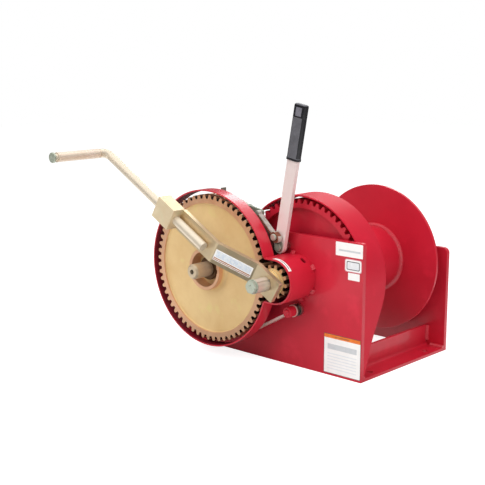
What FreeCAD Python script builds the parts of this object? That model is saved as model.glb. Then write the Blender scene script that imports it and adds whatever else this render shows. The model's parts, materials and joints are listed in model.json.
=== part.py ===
import FreeCAD, Part
import math
import os

from FreeCAD import Vector

# Two-stage spur gear hand winch with a band brake. All sizes are in millimetres and degrees.
# +X runs along the side plates to the right, +Y from the crank side to the far side, +Z up.
# The origin is the middle of the four base bolts, on the surface that the winch is bolted to.
# A station is a distance behind the outer face of the near plate, so what stands in front of it
# has negative stations. Angles run counter-clockwise from +X, as seen from the crank side.

# Driving dimensions: frame
OVERALL_WIDTH = 311.0
PLATE_LENGTH = 430.0
NEAR_PLATE_HEIGHT = 278.0
FAR_PLATE_HEIGHT = 227.0
PLATE = 9.525
NEAR_CORNER = 6.0
FAR_CORNER = 12.0
ANGLE_LEG = 50.8
ANGLE_WALL = 6.35
ANGLE_ROOT = 6.0
BOLT_HOLE = 7.1
BOLT_INSET_X = 19.0
BOLT_INSET_Y = 56.0

# Driving dimensions: gears
MODULE = 5.08
PINION_TEETH = 12
GEAR_TEETH = 60
PRESSURE_ANGLE = 20.0
ADDENDUM = 0.75 * MODULE
DEDENDUM = 1.0 * MODULE
TOOTH_THINNING = 0.3
TIP_CROWN = 0.7
RIM_INNER = 138.0
RIM_OVERLAP = 4.0
FRONT_PINION_TOOTH = 21.5
FRONT_GEAR_TOOTH = 4.7
REAR_PINION_TOOTH = 0.0
DRUM_GEAR_TOOTH = 183.0

# Driving dimensions: shafts, which stand at one height
SHAFT_HEIGHT = 190.5
DRUM_X = 49.4
CENTRE_DISTANCE = MODULE * (PINION_TEETH + GEAR_TEETH) / 2
SHAFT = 15.875
RUNNING_GAP = 0.05
END_PLAY = 0.35
BUSH = 20.0
BUSH_FLANGE = 25.0
BUSH_FLANGE_DEPTH = 2.1
COLLAR = 26.0
COLLAR_DEPTH = 12.0
SHAFT_END_REACH = 14.0
KEY = 6.35

# Driving dimensions: drum
BARREL = 70.65
BARREL_WALL = 6.35
FLANGE = 161.0
NEAR_FLANGE = 156.0
FLANGE_DEPTH = 6.4
NEAR_FLANGE_FRONT = 66.0
FAR_FLANGE_FRONT = 268.0
DRUM_HUB = 36.0
DRUM_GEAR_FRONT = 14.0
DRUM_GEAR_BACK = 46.0
DRUM_WEB_FRONT = 26.0
DRUM_WEB_BACK = 34.0
ROPE_HOLE = 7.0
ROPE_HOLE_RADIUS = 84.0
ROPE_ANGLE = 195.0

# Driving dimensions: front gear train
FRONT_GEAR_FRONT = -69.5
FRONT_GEAR_BACK = -39.5
FRONT_WEB_FRONT = -64.0
FRONT_WEB_BACK = -51.0
HUB_RING_FRONT = -84.0
HUB_RING = 44.5
HUB_CAVITY = 36.5
HUB_CAVITY_FLOOR = -59.0
INTERMEDIATE_FRONT = -119.0
HUB_BLEND = 9.0
RIM_BLEND = 4.5
PINION_FRONT = -71.0
PINION_BACK = -38.0
PINION_HUB = (23.5, 26.0, 23.5, 27.0)
HOUSING = 24.0
HOUSING_FRONT = -35.0

# Driving dimensions: guards
GUARD_WALL = 3.2
GEAR_GUARD = 166.8
GEAR_GUARD_GAP = 16.0
GUARD_FRONT = -74.8
GEAR_GUARD_BACK = -44.0
HOOD = 46.0
HOOD_X = 52.0
HOOD_SIDE_END = 26.9
HOOD_SLOT_ANGLE = 57.0
DRUM_GUARD = 164.5
DRUM_GUARD_START = 131.0
DRUM_GUARD_BACK = 77.0

# Driving dimensions: crank, modelled pointing left and then turned to its place
CRANK_TURN = -30.0
CRANK_END = 14.2875
CRANK_END_FRONT = -131.0
CRANK_RECESS = 16.8
CRANK_KEY = 4.7625
CRANK_KEY_ANGLE = 37.0
CRANK_BOLT = 6.35
CRANK_BOLT_FLATS = 24.0
CRANK_BOLT_HEAD = 6.0
CRANK_WASHER_DEPTH = 3.0
ARM_HALF_WIDTH = 23.5
ARM_THICKNESS = 9.525
ARM_BEND = 4.0
ARM_CORNER = 2.5
ARM_START = -31.5
PAD_END = 33.5
PAD_FRONT = -97.5
SLOPE_END = 112.5
ARM_FRONT = -142.0
BLOCK_START = 224.5
BLOCK_LENGTH = 51.0
BLOCK_HALF_WIDTH = 24.0
BLOCK_FRONT = -168.0
BLOCK_DEPTH = 32.0
ROD = 9.525
ROD_STATION = -152.0
ROD_START = 133.0
ROD_REACH = 469.0
ROD_BEND = 15.0
SPINDLE = 8.0
SPINDLE_BACK = -175.0
SPINDLE_FRONT = -298.5
GRIP = 10.0
GRIP_BACK = -177.0
GRIP_FRONT = -284.0
CAP_DEPTH = 4.0

# Driving dimensions: brake
BRAKE_DRUM = 143.0
BRAKE_FRONT = -37.5
BRAKE_BACK = -8.0
LINING_INNER = 143.3
BAND_INNER = 147.4
BAND_OUTER = 149.0
BAND_START = 56.0
BAND_END = 299.3
TAIL_LAP = 3.5
TAIL_THICKNESS = 4.5
TAIL_WELD = 12.0
TAIL_FRONT = -38.0
TAIL_BACK = -20.0
ANCHOR = (56.0, 122.0)
ANCHOR_STUD = 6.35
ANCHOR_EYE = 11.0
ANCHOR_WASHER = 12.7
ANCHOR_WASHER_BACK = -17.5
ANCHOR_NUT_BACK = -7.0
HINGE_RADIUS = 164.5
HINGE_ANGLE = 49.5
HINGE_PIN = 3.0
KNUCKLE = 5.4
LUG_FRONT = -25.9
LUG_BACK = -20.0
LEVER_PIVOT = (22.3, 249.8)
LEVER_PIN_PLACE = (20.5, 272.0)
LEVER_LEAN = 10.3
LEVER_WIDTH = 25.4
LEVER_THICKNESS = 9.5
LEVER_FRONT = -24.5
LEVER_LENGTH = 286.2
LEVER_GRIP_START = 181.6
LEVER_GRIP_END = 293.8
LEVER_GRIP_WIDTH = 30.4
LEVER_GRIP_THICKNESS = 14.5
PIVOT_BOLT = 6.35
LEVER_PIN = 3.5
COVER_DEPTH = 1.5
STRAP_FRONT = -37.6
STRAP_BACK = -26.3
STRAP_HALF = 3.0
STRAP_LOOP = 8.6
SLOT_ROUND = 4.2
SLOT_IN = 2.8
SLOT_OUT = 4.7

# Values that follow
DRUM_AXIS = (DRUM_X, SHAFT_HEIGHT)
LAY_AXIS = (DRUM_X - CENTRE_DISTANCE, SHAFT_HEIGHT)
HOOD_AXIS = (HOOD_X, SHAFT_HEIGHT)
DRUM_GUARD_AXIS = (PLATE_LENGTH / 2 - DRUM_GUARD, SHAFT_HEIGHT)
FAR_INNER = OVERALL_WIDTH - PLATE
SHAFT_END = OVERALL_WIDTH + SHAFT_END_REACH
BORE = SHAFT + RUNNING_GAP
FAR_HUB_BACK = FAR_INNER - BUSH_FLANGE_DEPTH - END_PLAY
CRANK_SHOULDER = PAD_FRONT + ARM_THICKNESS
LEVER_BACK = LEVER_FRONT + LEVER_THICKNESS
OVERCUT = 1.0
TOUCH = 0.01


def station_y(station):
    """Y of a station."""
    return station - OVERALL_WIDTH / 2


def place(spot, station):
    """Point of an (x, z) spot at a station."""
    return Vector(spot[0], station_y(station), spot[1])


def polar(axis, radius, degrees):
    """Spot at a radius and an angle about an axis."""
    angle = math.radians(degrees)
    return (axis[0] + radius * math.cos(angle), axis[1] + radius * math.sin(angle))


def turn(shape, axis, degrees):
    """Copy of a shape, turned counter-clockwise about an axis along Y."""
    turned = shape.copy()
    turned.rotate(place(axis, 0), Vector(0, -1, 0), degrees)
    return turned


def disc(axis, radius, front, back):
    """Round bar along Y between two stations."""
    return Part.makeCylinder(radius, back - front, place(axis, front), Vector(0, 1, 0))


def ring(axis, inner, outer, front, back):
    """Tube along Y between two stations."""
    return disc(axis, outer, front, back).cut(disc(axis, inner, front - OVERCUT, back + OVERCUT))


def box(x_range, stations, z_range):
    """Box between two X, two stations and two Z."""
    corner = Vector(x_range[0], station_y(stations[0]), z_range[0])
    width = x_range[1] - x_range[0]
    return Part.makeBox(width, stations[1] - stations[0], z_range[1] - z_range[0], corner)


def slab(outline, front, back):
    """Prism of a closed outline of spots between two stations."""
    corners = [place(spot, front) for spot in outline]
    return Part.Face(Part.makePolygon(corners + corners[:1])).extrude(Vector(0, back - front, 0))


def hexagon(axis, across_flats, front, back):
    """Hexagonal prism, as a bolt head or a nut."""
    corner_radius = across_flats / math.sqrt(3)
    return slab([polar(axis, corner_radius, 60 * side) for side in range(6)], front, back)


def curve(axis, radius, start, end, station):
    """Arc from one angle to another at a station."""
    angles = (start, (start + end) / 2, end)
    return Part.Arc(*[place(polar(axis, radius, angle), station) for angle in angles]).toShape()


def line(first, second, station):
    """Straight edge between two spots at a station."""
    return Part.makeLine(place(first, station), place(second, station))


def arc_strip(axis, inner, outer, start, end, front, back):
    """Strip that follows an arc about an axis."""
    edges = [
        curve(axis, outer, start, end, front),
        line(polar(axis, outer, end), polar(axis, inner, end), front),
        curve(axis, inner, end, start, front),
        line(polar(axis, inner, start), polar(axis, outer, start), front),
    ]
    return Part.Face(Part.Wire(edges)).extrude(Vector(0, back - front, 0))


def revolved(axis, profile):
    """Solid of revolution of a closed outline of (radius, station) corners about an axis."""
    corners = [place((axis[0] + radius, axis[1]), station) for radius, station in profile]
    face = Part.Face(Part.makePolygon(corners + corners[:1]))
    return face.revolve(place(axis, 0), Vector(0, 1, 0), 360)


def capsule(first, second, radius, front, back):
    """Slab with round ends about two spots."""
    along = Vector(second[0] - first[0], 0, second[1] - first[1])
    side = Vector(along.z, 0, -along.x).normalize() * radius
    corners = [place(first, front) - side, place(first, front) + side]
    corners += [place(second, front) + side, place(second, front) - side]
    middle = Part.Face(Part.makePolygon(corners + corners[:1])).extrude(Vector(0, back - front, 0))
    ends = [disc(spot, radius, front, back) for spot in (first, second)]
    return middle.multiFuse(ends).removeSplitter()


def circles(shape, radius, station):
    """Circular edges of a radius at a station."""
    found = []
    for edge in shape.Edges:
        if isinstance(edge.Curve, Part.Circle) and abs(edge.Curve.Radius - radius) < TOUCH:
            if abs(edge.Curve.Center.y - station_y(station)) < TOUCH:
                found.append(edge)
    return found


def parallel_edges(shape, direction):
    """Straight edges of a shape that run along a direction."""
    found = []
    for edge in shape.Edges:
        if isinstance(edge.Curve, Part.Line) and edge.Curve.Direction.cross(direction).Length < TOUCH:
            found.append(edge)
    return found


def bead(corner, first_leg, second_leg, along):
    """Straight fillet weld in the corner between two faces."""
    first = corner + first_leg
    second = corner + second_leg
    crown = corner + (first_leg + second_leg) * 0.6
    edges = [Part.makeLine(corner, first), Part.Arc(first, crown, second).toShape()]
    edges.append(Part.makeLine(second, corner))
    return Part.Face(Part.Wire(edges)).extrude(along)


def round_bead(axis, radius, station, leg, sweep=360, start=0):
    """Fillet weld round a bar where it meets a flat face; a negative leg lies in front of it."""
    corner = place((axis[0] + radius, axis[1]), station)
    first = corner + Vector(abs(leg), 0, 0)
    second = corner + Vector(0, leg, 0)
    crown = corner + Vector(abs(leg), leg, 0) * 0.6
    edges = [Part.makeLine(corner, first), Part.Arc(first, crown, second).toShape()]
    edges.append(Part.makeLine(second, corner))
    weld = Part.Face(Part.Wire(edges)).revolve(place(axis, 0), Vector(0, -1, 0), sweep)
    return turn(weld, axis, start)


# Gears

def involute(degrees):
    """Involute function of an angle, in degrees."""
    angle = math.radians(degrees)
    return math.degrees(math.tan(angle) - angle)


def half_tooth(teeth, radius):
    """Half the angle that a tooth takes up at a radius."""
    pitch_radius = MODULE * teeth / 2
    base_radius = pitch_radius * math.cos(math.radians(PRESSURE_ANGLE))
    thickness = math.pi * MODULE / 2 - TOOTH_THINNING
    at_pitch = math.degrees(thickness / 2 / pitch_radius)
    flank_angle = math.degrees(math.acos(min(1.0, base_radius / radius)))
    return at_pitch + involute(PRESSURE_ANGLE) - involute(flank_angle)


def tooth_edges(axis, teeth, centre, station):
    """Edges of one tooth and of the gap after it, counter-clockwise."""
    pitch_radius = MODULE * teeth / 2
    root = pitch_radius - DEDENDUM
    foot = max(root, pitch_radius * math.cos(math.radians(PRESSURE_ANGLE)))
    tip = pitch_radius + ADDENDUM
    shoulder = tip - TIP_CROWN
    middle = (foot + shoulder) / 2

    def spot(radius, side):
        return polar(axis, radius, centre + side * half_tooth(teeth, max(radius, foot)))

    def flank(radii, side):
        return Part.Arc(*[place(spot(radius, side), station) for radius in radii]).toShape()

    crown = [spot(shoulder, -1), polar(axis, tip, centre), spot(shoulder, 1)]
    edges = [flank((foot, middle, shoulder), -1)]
    edges.append(Part.Arc(*[place(corner, station) for corner in crown]).toShape())
    edges.append(flank((shoulder, middle, foot), 1))
    if foot > root + TOUCH:
        edges.insert(0, line(spot(root, -1), spot(foot, -1), station))
        edges.append(line(spot(foot, 1), spot(root, 1), station))
    gap_start = centre + half_tooth(teeth, foot)
    gap_end = centre + 360 / teeth - half_tooth(teeth, foot)
    edges.append(curve(axis, root, gap_start, gap_end, station))
    return edges


def toothed_ring(axis, teeth, tooth_angle, bore, front, back):
    """Toothed ring with a round hole."""
    edges = []
    for tooth in range(teeth):
        edges += tooth_edges(axis, teeth, tooth_angle + tooth * 360 / teeth, front)
    outline = Part.Face(Part.Wire(edges))
    hole = Part.Face(Part.Wire(Part.makeCircle(bore, place(axis, front), Vector(0, 1, 0))))
    return outline.cut(hole).extrude(Vector(0, back - front, 0))


def key_bar(axis, radius, angle, front, back, size=KEY):
    """Square key half sunk in a shaft of a radius."""
    bar = box((axis[0] + radius - size / 2, axis[0] + radius + size / 2), (front, back),
              (axis[1] - size / 2, axis[1] + size / 2))
    return turn(bar, axis, angle)


# Frame

def side_plate(height, corner, front):
    """Upright plate with rounded top corners and the two bearing holes."""
    plate = box((-PLATE_LENGTH / 2, PLATE_LENGTH / 2), (front, front + PLATE), (0, height))
    tops = [edge for edge in parallel_edges(plate, Vector(0, 1, 0)) if edge.CenterOfMass.z > height - 1]
    plate = plate.makeFillet(corner, tops)
    for axis in (DRUM_AXIS, LAY_AXIS):
        plate = plate.cut(disc(axis, BUSH, front - OVERCUT, front + PLATE + OVERCUT))
    return plate


def near_side_plate():
    plate = side_plate(NEAR_PLATE_HEIGHT, NEAR_CORNER, 0)
    for spot, radius in ((ANCHOR, ANCHOR_STUD), (LEVER_PIVOT, PIVOT_BOLT)):
        plate = plate.cut(disc(spot, radius, -OVERCUT, PLATE + OVERCUT))
    return plate


def far_side_plate():
    return side_plate(FAR_PLATE_HEIGHT, FAR_CORNER, FAR_INNER)


def base_angle(side):
    """Angle iron between the plates, flat leg outward, with its two bolt holes."""
    outer = PLATE_LENGTH / 2
    inner = outer - ANGLE_LEG
    corner = inner + ANGLE_WALL
    outline = [(outer, 0), (inner, 0), (inner, ANGLE_LEG)]
    outline += [(corner, ANGLE_LEG), (corner, ANGLE_WALL), (outer, ANGLE_WALL)]
    angle = slab([(side * x, z) for x, z in outline], PLATE, FAR_INNER)
    root = [edge for edge in parallel_edges(angle, Vector(0, 1, 0))
            if math.dist((abs(edge.CenterOfMass.x), edge.CenterOfMass.z), (corner, ANGLE_WALL)) < TOUCH]
    angle = angle.makeFillet(ANGLE_ROOT, root)
    for station in (BOLT_INSET_Y, OVERALL_WIDTH - BOLT_INSET_Y):
        spot = Vector(side * (outer - BOLT_INSET_X), station_y(station), -OVERCUT)
        angle = angle.cut(Part.makeCylinder(BOLT_HOLE, ANGLE_WALL + 2 * OVERCUT, spot))
    return angle


def angle_welds():
    """Fillet welds that join the two angles to the two plates."""
    leg = 4.5
    outer = PLATE_LENGTH / 2
    corner = outer - ANGLE_LEG + ANGLE_WALL
    clear = ANGLE_ROOT + leg
    welds = []
    for side in (-1, 1):
        for station, inward in ((PLATE, 1), (FAR_INNER, -1)):
            away = Vector(0, inward * leg, 0)
            upright = Vector(side * corner, station_y(station), ANGLE_WALL + clear)
            rise = Vector(0, 0, ANGLE_LEG - ANGLE_WALL - clear)
            welds.append(bead(upright, Vector(side * leg, 0, 0), away, rise))
            flat = Vector(side * (corner + clear), station_y(station), ANGLE_WALL)
            reach = Vector(side * (outer - corner - clear), 0, 0)
            welds.append(bead(flat, Vector(0, 0, leg), away, reach))
    return welds


def near_bushings():
    bushes = []
    for axis in (DRUM_AXIS, LAY_AXIS):
        sleeve = ring(axis, BORE, BUSH, 0, PLATE)
        bushes.append(sleeve.fuse(ring(axis, BORE, BUSH_FLANGE, PLATE, PLATE + BUSH_FLANGE_DEPTH)))
    return Part.makeCompound(bushes)


def far_bushings():
    bushes = []
    for axis in (DRUM_AXIS, LAY_AXIS):
        sleeve = ring(axis, BORE, BUSH, FAR_INNER, OVERALL_WIDTH)
        flange = ring(axis, BORE, BUSH_FLANGE, FAR_INNER - BUSH_FLANGE_DEPTH, FAR_INNER)
        bushes.append(sleeve.fuse(flange))
    return Part.makeCompound(bushes)


def bearing_housing():
    """Long boss of the drive shaft on the front of the near plate."""
    return ring(DRUM_AXIS, BORE, HOUSING, HOUSING_FRONT, 0)


def grease_fitting():
    """Nipple on the bearing housing, reached through the slot of the pinion guard."""
    station, angle, reach = -13.5, 54.0, 13.0
    start = place((DRUM_AXIS[0] + HOUSING - OVERCUT, DRUM_AXIS[1]), station)
    outward = Vector(1, 0, 0)
    stem = Part.makeCylinder(3.2, reach, start, outward)
    ball = Part.makeSphere(3.6, start + outward * reach)
    fitting = stem.fuse(ball).cut(disc(DRUM_AXIS, HOUSING, station - 8, station + 8))
    return turn(fitting, DRUM_AXIS, angle)


# Guards

def gear_guard():
    """Band round the front gear, open to the right where the pinion meets it."""
    return arc_strip(LAY_AXIS, GEAR_GUARD - GUARD_WALL, GEAR_GUARD, GEAR_GUARD_GAP, 360 - GEAR_GUARD_GAP,
                     GUARD_FRONT, GEAR_GUARD_BACK)


def gear_guard_struts():
    """Flat struts that carry the band from the near plate, behind its lower edge."""
    outer = GEAR_GUARD - GUARD_WALL
    inner = outer - GUARD_WALL
    struts = []
    for start in (-118, -101):
        struts.append(arc_strip(LAY_AXIS, inner, outer, start, start + 6, GEAR_GUARD_BACK - 16, 0))
    return Part.makeCompound(struts)


def pinion_guard():
    """U-shaped hood over the drive pinion, with a slot over the grease fitting."""
    inner = HOOD - GUARD_WALL
    hood = arc_strip(HOOD_AXIS, inner, HOOD, -90, 90, GUARD_FRONT, 0)
    for side in (-1, 1):
        heights = sorted((SHAFT_HEIGHT + side * inner, SHAFT_HEIGHT + side * HOOD))
        hood = hood.fuse(box((HOOD_SIDE_END, HOOD_X), (GUARD_FRONT, 0), heights))
    slot = box((HOOD_X, HOOD_X + HOOD + OVERCUT), (-18, -9), (SHAFT_HEIGHT - 7, SHAFT_HEIGHT + 7))
    slot = slot.makeFillet(3.5, parallel_edges(slot, Vector(1, 0, 0)))
    return hood.cut(turn(slot, HOOD_AXIS, HOOD_SLOT_ANGLE)).removeSplitter()


def drum_gear_guard():
    """Band over the drum gear that runs down the right end of the near plate and tapers off."""
    inner = DRUM_GUARD - GUARD_WALL
    band = arc_strip(DRUM_GUARD_AXIS, inner, DRUM_GUARD, 0, DRUM_GUARD_START, PLATE, DRUM_GUARD_BACK)
    right = PLATE_LENGTH / 2 - GUARD_WALL
    back_edge = [(DRUM_GUARD_BACK, SHAFT_HEIGHT), (70, 153), (48, 105.6), (28.5, 61), (18.5, 30), (12, 12)]
    points = [Vector(right, station_y(station), height) for station, height in back_edge]
    taper = Part.BSplineCurve()
    taper.interpolate(points)
    low = Vector(right, station_y(PLATE), points[-1].z)
    high = Vector(right, station_y(PLATE), SHAFT_HEIGHT)
    edges = [taper.toShape(), Part.makeLine(points[-1], low)]
    edges += [Part.makeLine(low, high), Part.makeLine(high, points[0])]
    tail = Part.Face(Part.Wire(edges)).extrude(Vector(GUARD_WALL, 0, 0))
    return band.fuse(tail).removeSplitter()


def guard_welds():
    """Stitch welds of the hood on the plate, of the two guards where they meet, and of the drum guard."""
    leg = 5.0
    top = Vector(37, station_y(0), SHAFT_HEIGHT + HOOD)
    welds = [bead(top, Vector(0, 0, leg), Vector(0, -leg, 0), Vector(11, 0, 0))]
    for angle in (-80, -37, 25):
        welds.append(round_bead(HOOD_AXIS, HOOD, 0, -leg, 12, angle))
    corner_x = DRUM_GUARD_AXIS[0] + DRUM_GUARD - GUARD_WALL
    for height in (60, 110, 160):
        corner = Vector(corner_x, station_y(PLATE), height)
        welds.append(bead(corner, Vector(-4, 0, 0), Vector(0, 4, 0), Vector(0, 0, 20)))
    return welds


def frame_welds():
    return Part.makeCompound(angle_welds() + guard_welds())


# Intermediate shaft

def intermediate_shaft():
    shaft = disc(LAY_AXIS, SHAFT, INTERMEDIATE_FRONT, SHAFT_END)
    shaft = shaft.makeChamfer(3.5, circles(shaft, SHAFT, INTERMEDIATE_FRONT))
    centre = Part.makeCone(4.5, 1.5, 5, place(LAY_AXIS, INTERMEDIATE_FRONT), Vector(0, 1, 0))
    return shaft.cut(centre).cut(front_gear_key())


def front_gear_key():
    return key_bar(LAY_AXIS, SHAFT, 90, HUB_CAVITY_FLOOR, FRONT_GEAR_BACK)


def front_gear():
    """Large cast gear with a thin web and a hollow hub ring that stands forward of it."""
    stations = (FRONT_GEAR_FRONT, FRONT_GEAR_BACK)
    teeth = toothed_ring(LAY_AXIS, GEAR_TEETH, FRONT_GEAR_TOOTH, RIM_INNER, *stations)
    rim = RIM_INNER + RIM_OVERLAP
    profile = [(SHAFT, HUB_CAVITY_FLOOR), (HUB_CAVITY, HUB_CAVITY_FLOOR), (HUB_CAVITY, HUB_RING_FRONT)]
    profile += [(HUB_RING, HUB_RING_FRONT), (HUB_RING, FRONT_WEB_FRONT), (rim, FRONT_WEB_FRONT)]
    profile += [(rim, FRONT_WEB_BACK), (HUB_RING, FRONT_WEB_BACK), (HUB_RING, FRONT_GEAR_BACK)]
    profile += [(SHAFT, FRONT_GEAR_BACK)]
    disc_part = revolved(LAY_AXIS, profile)
    disc_part = disc_part.makeFillet(HUB_BLEND, circles(disc_part, HUB_RING, FRONT_WEB_FRONT))
    lips = circles(disc_part, HUB_RING, HUB_RING_FRONT) + circles(disc_part, HUB_CAVITY, HUB_RING_FRONT)
    disc_part = disc_part.makeFillet(1.5, lips)
    notch = box((LAY_AXIS[0] + HUB_CAVITY - 4, LAY_AXIS[0] + HUB_CAVITY + 2.5),
                (HUB_RING_FRONT - OVERCUT, HUB_CAVITY_FLOOR), (SHAFT_HEIGHT - 4, SHAFT_HEIGHT + 4))
    gear = teeth.fuse(disc_part)
    gear = gear.makeFillet(RIM_BLEND, circles(gear, RIM_INNER, FRONT_WEB_FRONT))
    return gear.cut(notch).cut(front_gear_key())


def hub_collar():
    """Locking collar in the gear's hollow hub, with its set screw hole."""
    collar = ring(LAY_AXIS, SHAFT, 24, HUB_CAVITY_FLOOR - 13, HUB_CAVITY_FLOOR)
    collar = collar.makeChamfer(1.2, circles(collar, 24, HUB_CAVITY_FLOOR - 13))
    start = place((LAY_AXIS[0] + SHAFT, SHAFT_HEIGHT), HUB_CAVITY_FLOOR - 6.5)
    screw_hole = Part.makeCylinder(3.2, 12, start, Vector(1, 0, 0))
    return collar.cut(turn(screw_hole, LAY_AXIS, 30))


def brake_drum():
    """Drum that the band closes on, beside the front gear."""
    rim, hub = BRAKE_DRUM - 8, 38.0
    web_front, web_back = -26.0, -18.0
    profile = [(SHAFT, FRONT_GEAR_BACK), (hub, FRONT_GEAR_BACK), (hub, web_front), (rim, web_front)]
    profile += [(rim, BRAKE_FRONT), (BRAKE_DRUM, BRAKE_FRONT), (BRAKE_DRUM, BRAKE_BACK), (rim, BRAKE_BACK)]
    profile += [(rim, web_back), (hub, web_back), (hub, -END_PLAY), (SHAFT, -END_PLAY)]
    return revolved(LAY_AXIS, profile)


def rear_pinion():
    return toothed_ring(LAY_AXIS, PINION_TEETH, REAR_PINION_TOOTH, SHAFT,
                        PLATE + BUSH_FLANGE_DEPTH + END_PLAY, DRUM_GEAR_BACK + 4)


def end_collar(axis):
    """Collar on the far end of a shaft, outside the far plate."""
    front = OVERALL_WIDTH + END_PLAY
    collar = ring(axis, SHAFT, COLLAR, front, front + COLLAR_DEPTH)
    return collar.makeChamfer(1.0, circles(collar, COLLAR, front + COLLAR_DEPTH))


# Drum

def drum_gear():
    """Large gear welded to the near end of the drum."""
    teeth = toothed_ring(DRUM_AXIS, GEAR_TEETH, DRUM_GEAR_TOOTH, RIM_INNER, DRUM_GEAR_FRONT, DRUM_GEAR_BACK)
    rim = RIM_INNER + RIM_OVERLAP
    hub_front = PLATE + BUSH_FLANGE_DEPTH + END_PLAY
    profile = [(BUSH, hub_front), (DRUM_HUB, hub_front), (DRUM_HUB, DRUM_WEB_FRONT), (rim, DRUM_WEB_FRONT)]
    profile += [(rim, DRUM_WEB_BACK), (DRUM_HUB, DRUM_WEB_BACK), (DRUM_HUB, NEAR_FLANGE_FRONT)]
    profile += [(BUSH, NEAR_FLANGE_FRONT)]
    return teeth.fuse(revolved(DRUM_AXIS, profile))


def drum_barrel():
    return ring(DRUM_AXIS, BARREL - BARREL_WALL, BARREL, DRUM_WEB_BACK, FAR_FLANGE_FRONT)


def near_flange():
    return ring(DRUM_AXIS, BARREL, NEAR_FLANGE, NEAR_FLANGE_FRONT, NEAR_FLANGE_FRONT + FLANGE_DEPTH)


def rope_hole_tool(front, back):
    hole = disc((DRUM_AXIS[0] + ROPE_HOLE_RADIUS, SHAFT_HEIGHT), ROPE_HOLE, front, back)
    return turn(hole, DRUM_AXIS, ROPE_ANGLE)


def far_flange():
    """Far flange of the drum, with the hole that takes the rope's end out to its clamp."""
    back = FAR_FLANGE_FRONT + FLANGE_DEPTH
    flange = ring(DRUM_AXIS, DRUM_HUB, FLANGE, FAR_FLANGE_FRONT, back)
    edges = circles(flange, FLANGE, FAR_FLANGE_FRONT) + circles(flange, FLANGE, back)
    flange = flange.makeFillet(0.8, edges)
    return flange.cut(rope_hole_tool(FAR_FLANGE_FRONT - OVERCUT, back + OVERCUT))


def far_hub():
    return ring(DRUM_AXIS, BUSH, DRUM_HUB, FAR_FLANGE_FRONT - 6, FAR_HUB_BACK)


def drum_bushings():
    near = ring(DRUM_AXIS, BORE, BUSH, PLATE + BUSH_FLANGE_DEPTH + END_PLAY, NEAR_FLANGE_FRONT)
    far = ring(DRUM_AXIS, BORE, BUSH, FAR_FLANGE_FRONT - 6, FAR_HUB_BACK)
    return Part.makeCompound([near, far])


def drum_welds():
    """Fillet welds round the barrel and the far hub."""
    leg = 5.0
    flange_back = FAR_FLANGE_FRONT + FLANGE_DEPTH
    welds = [round_bead(DRUM_AXIS, BARREL, FAR_FLANGE_FRONT, -leg)]
    welds.append(round_bead(DRUM_AXIS, BARREL, NEAR_FLANGE_FRONT + FLANGE_DEPTH, leg))
    welds.append(round_bead(DRUM_AXIS, BARREL, DRUM_WEB_BACK, leg))
    welds.append(round_bead(DRUM_AXIS, DRUM_HUB, flange_back, leg))
    return Part.makeCompound(welds)


def rope_clamp_spots():
    """Middle of the rope clamp and of its two bolts, before they are turned to the rope hole."""
    middle = DRUM_AXIS[0] + ROPE_HOLE_RADIUS + 26
    return middle, [(middle, SHAFT_HEIGHT + offset) for offset in (-15, 15)]


def rope_clamp():
    """Grooved block on the outer side of the far flange that grips the rope's end."""
    middle, bolts = rope_clamp_spots()
    back = FAR_FLANGE_FRONT + FLANGE_DEPTH
    clamp = box((middle - 13, middle + 13), (back, back + 10), (SHAFT_HEIGHT - 25, SHAFT_HEIGHT + 25))
    clamp = clamp.makeFillet(4, parallel_edges(clamp, Vector(0, 1, 0)))
    groove = Part.makeCylinder(5, 26 + 2 * OVERCUT, place((middle - 13 - OVERCUT, SHAFT_HEIGHT), back),
                               Vector(1, 0, 0))
    clamp = clamp.cut(groove)
    for spot in bolts:
        clamp = clamp.cut(disc(spot, 4, back - OVERCUT, back + 10 + OVERCUT))
    return turn(clamp, DRUM_AXIS, ROPE_ANGLE)


def rope_clamp_bolts():
    back = FAR_FLANGE_FRONT + FLANGE_DEPTH
    bolts = []
    for spot in rope_clamp_spots()[1]:
        bolt = hexagon(spot, 13, back + 10, back + 15.3).fuse(disc(spot, 4, back, back + 10))
        bolts.append(turn(bolt, DRUM_AXIS, ROPE_ANGLE))
    return Part.makeCompound(bolts)


# Crank

def crank_key():
    return key_bar(DRUM_AXIS, CRANK_END, CRANK_KEY_ANGLE, PAD_FRONT, CRANK_SHOULDER, CRANK_KEY)


def drive_shaft():
    """Shaft through the whole winch, with a thinner keyed end for the crank."""
    front = CRANK_END_FRONT - OVERCUT
    shaft = disc(DRUM_AXIS, SHAFT, CRANK_SHOULDER, SHAFT_END)
    shaft = shaft.fuse(disc(DRUM_AXIS, CRANK_END, CRANK_END_FRONT, CRANK_SHOULDER))
    keyway = key_bar(DRUM_AXIS, CRANK_END, CRANK_KEY_ANGLE, front, CRANK_SHOULDER, CRANK_KEY)
    tapped = disc(DRUM_AXIS, CRANK_BOLT, front, CRANK_END_FRONT + 26)
    return shaft.cut(keyway).cut(tapped)


def drive_pinion():
    """Small gear on the drive shaft, with a stepped hub that reaches to the crank's pad."""
    stations = (PINION_FRONT, PINION_BACK)
    pinion = toothed_ring(DRUM_AXIS, PINION_TEETH, FRONT_PINION_TOOTH, SHAFT, *stations)
    depth = (PINION_FRONT - CRANK_SHOULDER) / len(PINION_HUB)
    for step, radius in enumerate(PINION_HUB):
        front = CRANK_SHOULDER + step * depth
        pinion = pinion.fuse(ring(DRUM_AXIS, SHAFT, radius, front, front + depth))
    return pinion


def crank_spot(reach, station, height=0.0):
    """Point at a distance left of the drive shaft's axis, and at a height over it."""
    return Vector(DRUM_AXIS[0] - reach, station_y(station), SHAFT_HEIGHT + height)


def bent(arm, reach, station, radius):
    """Copy of the arm with its edge at one corner of the outline rounded."""
    middle = crank_spot(reach, station)
    edges = [edge for edge in parallel_edges(arm, Vector(0, 0, 1))
             if edge.CenterOfMass.distanceToPoint(middle) < TOUCH]
    return arm.makeFillet(radius, edges)


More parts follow.
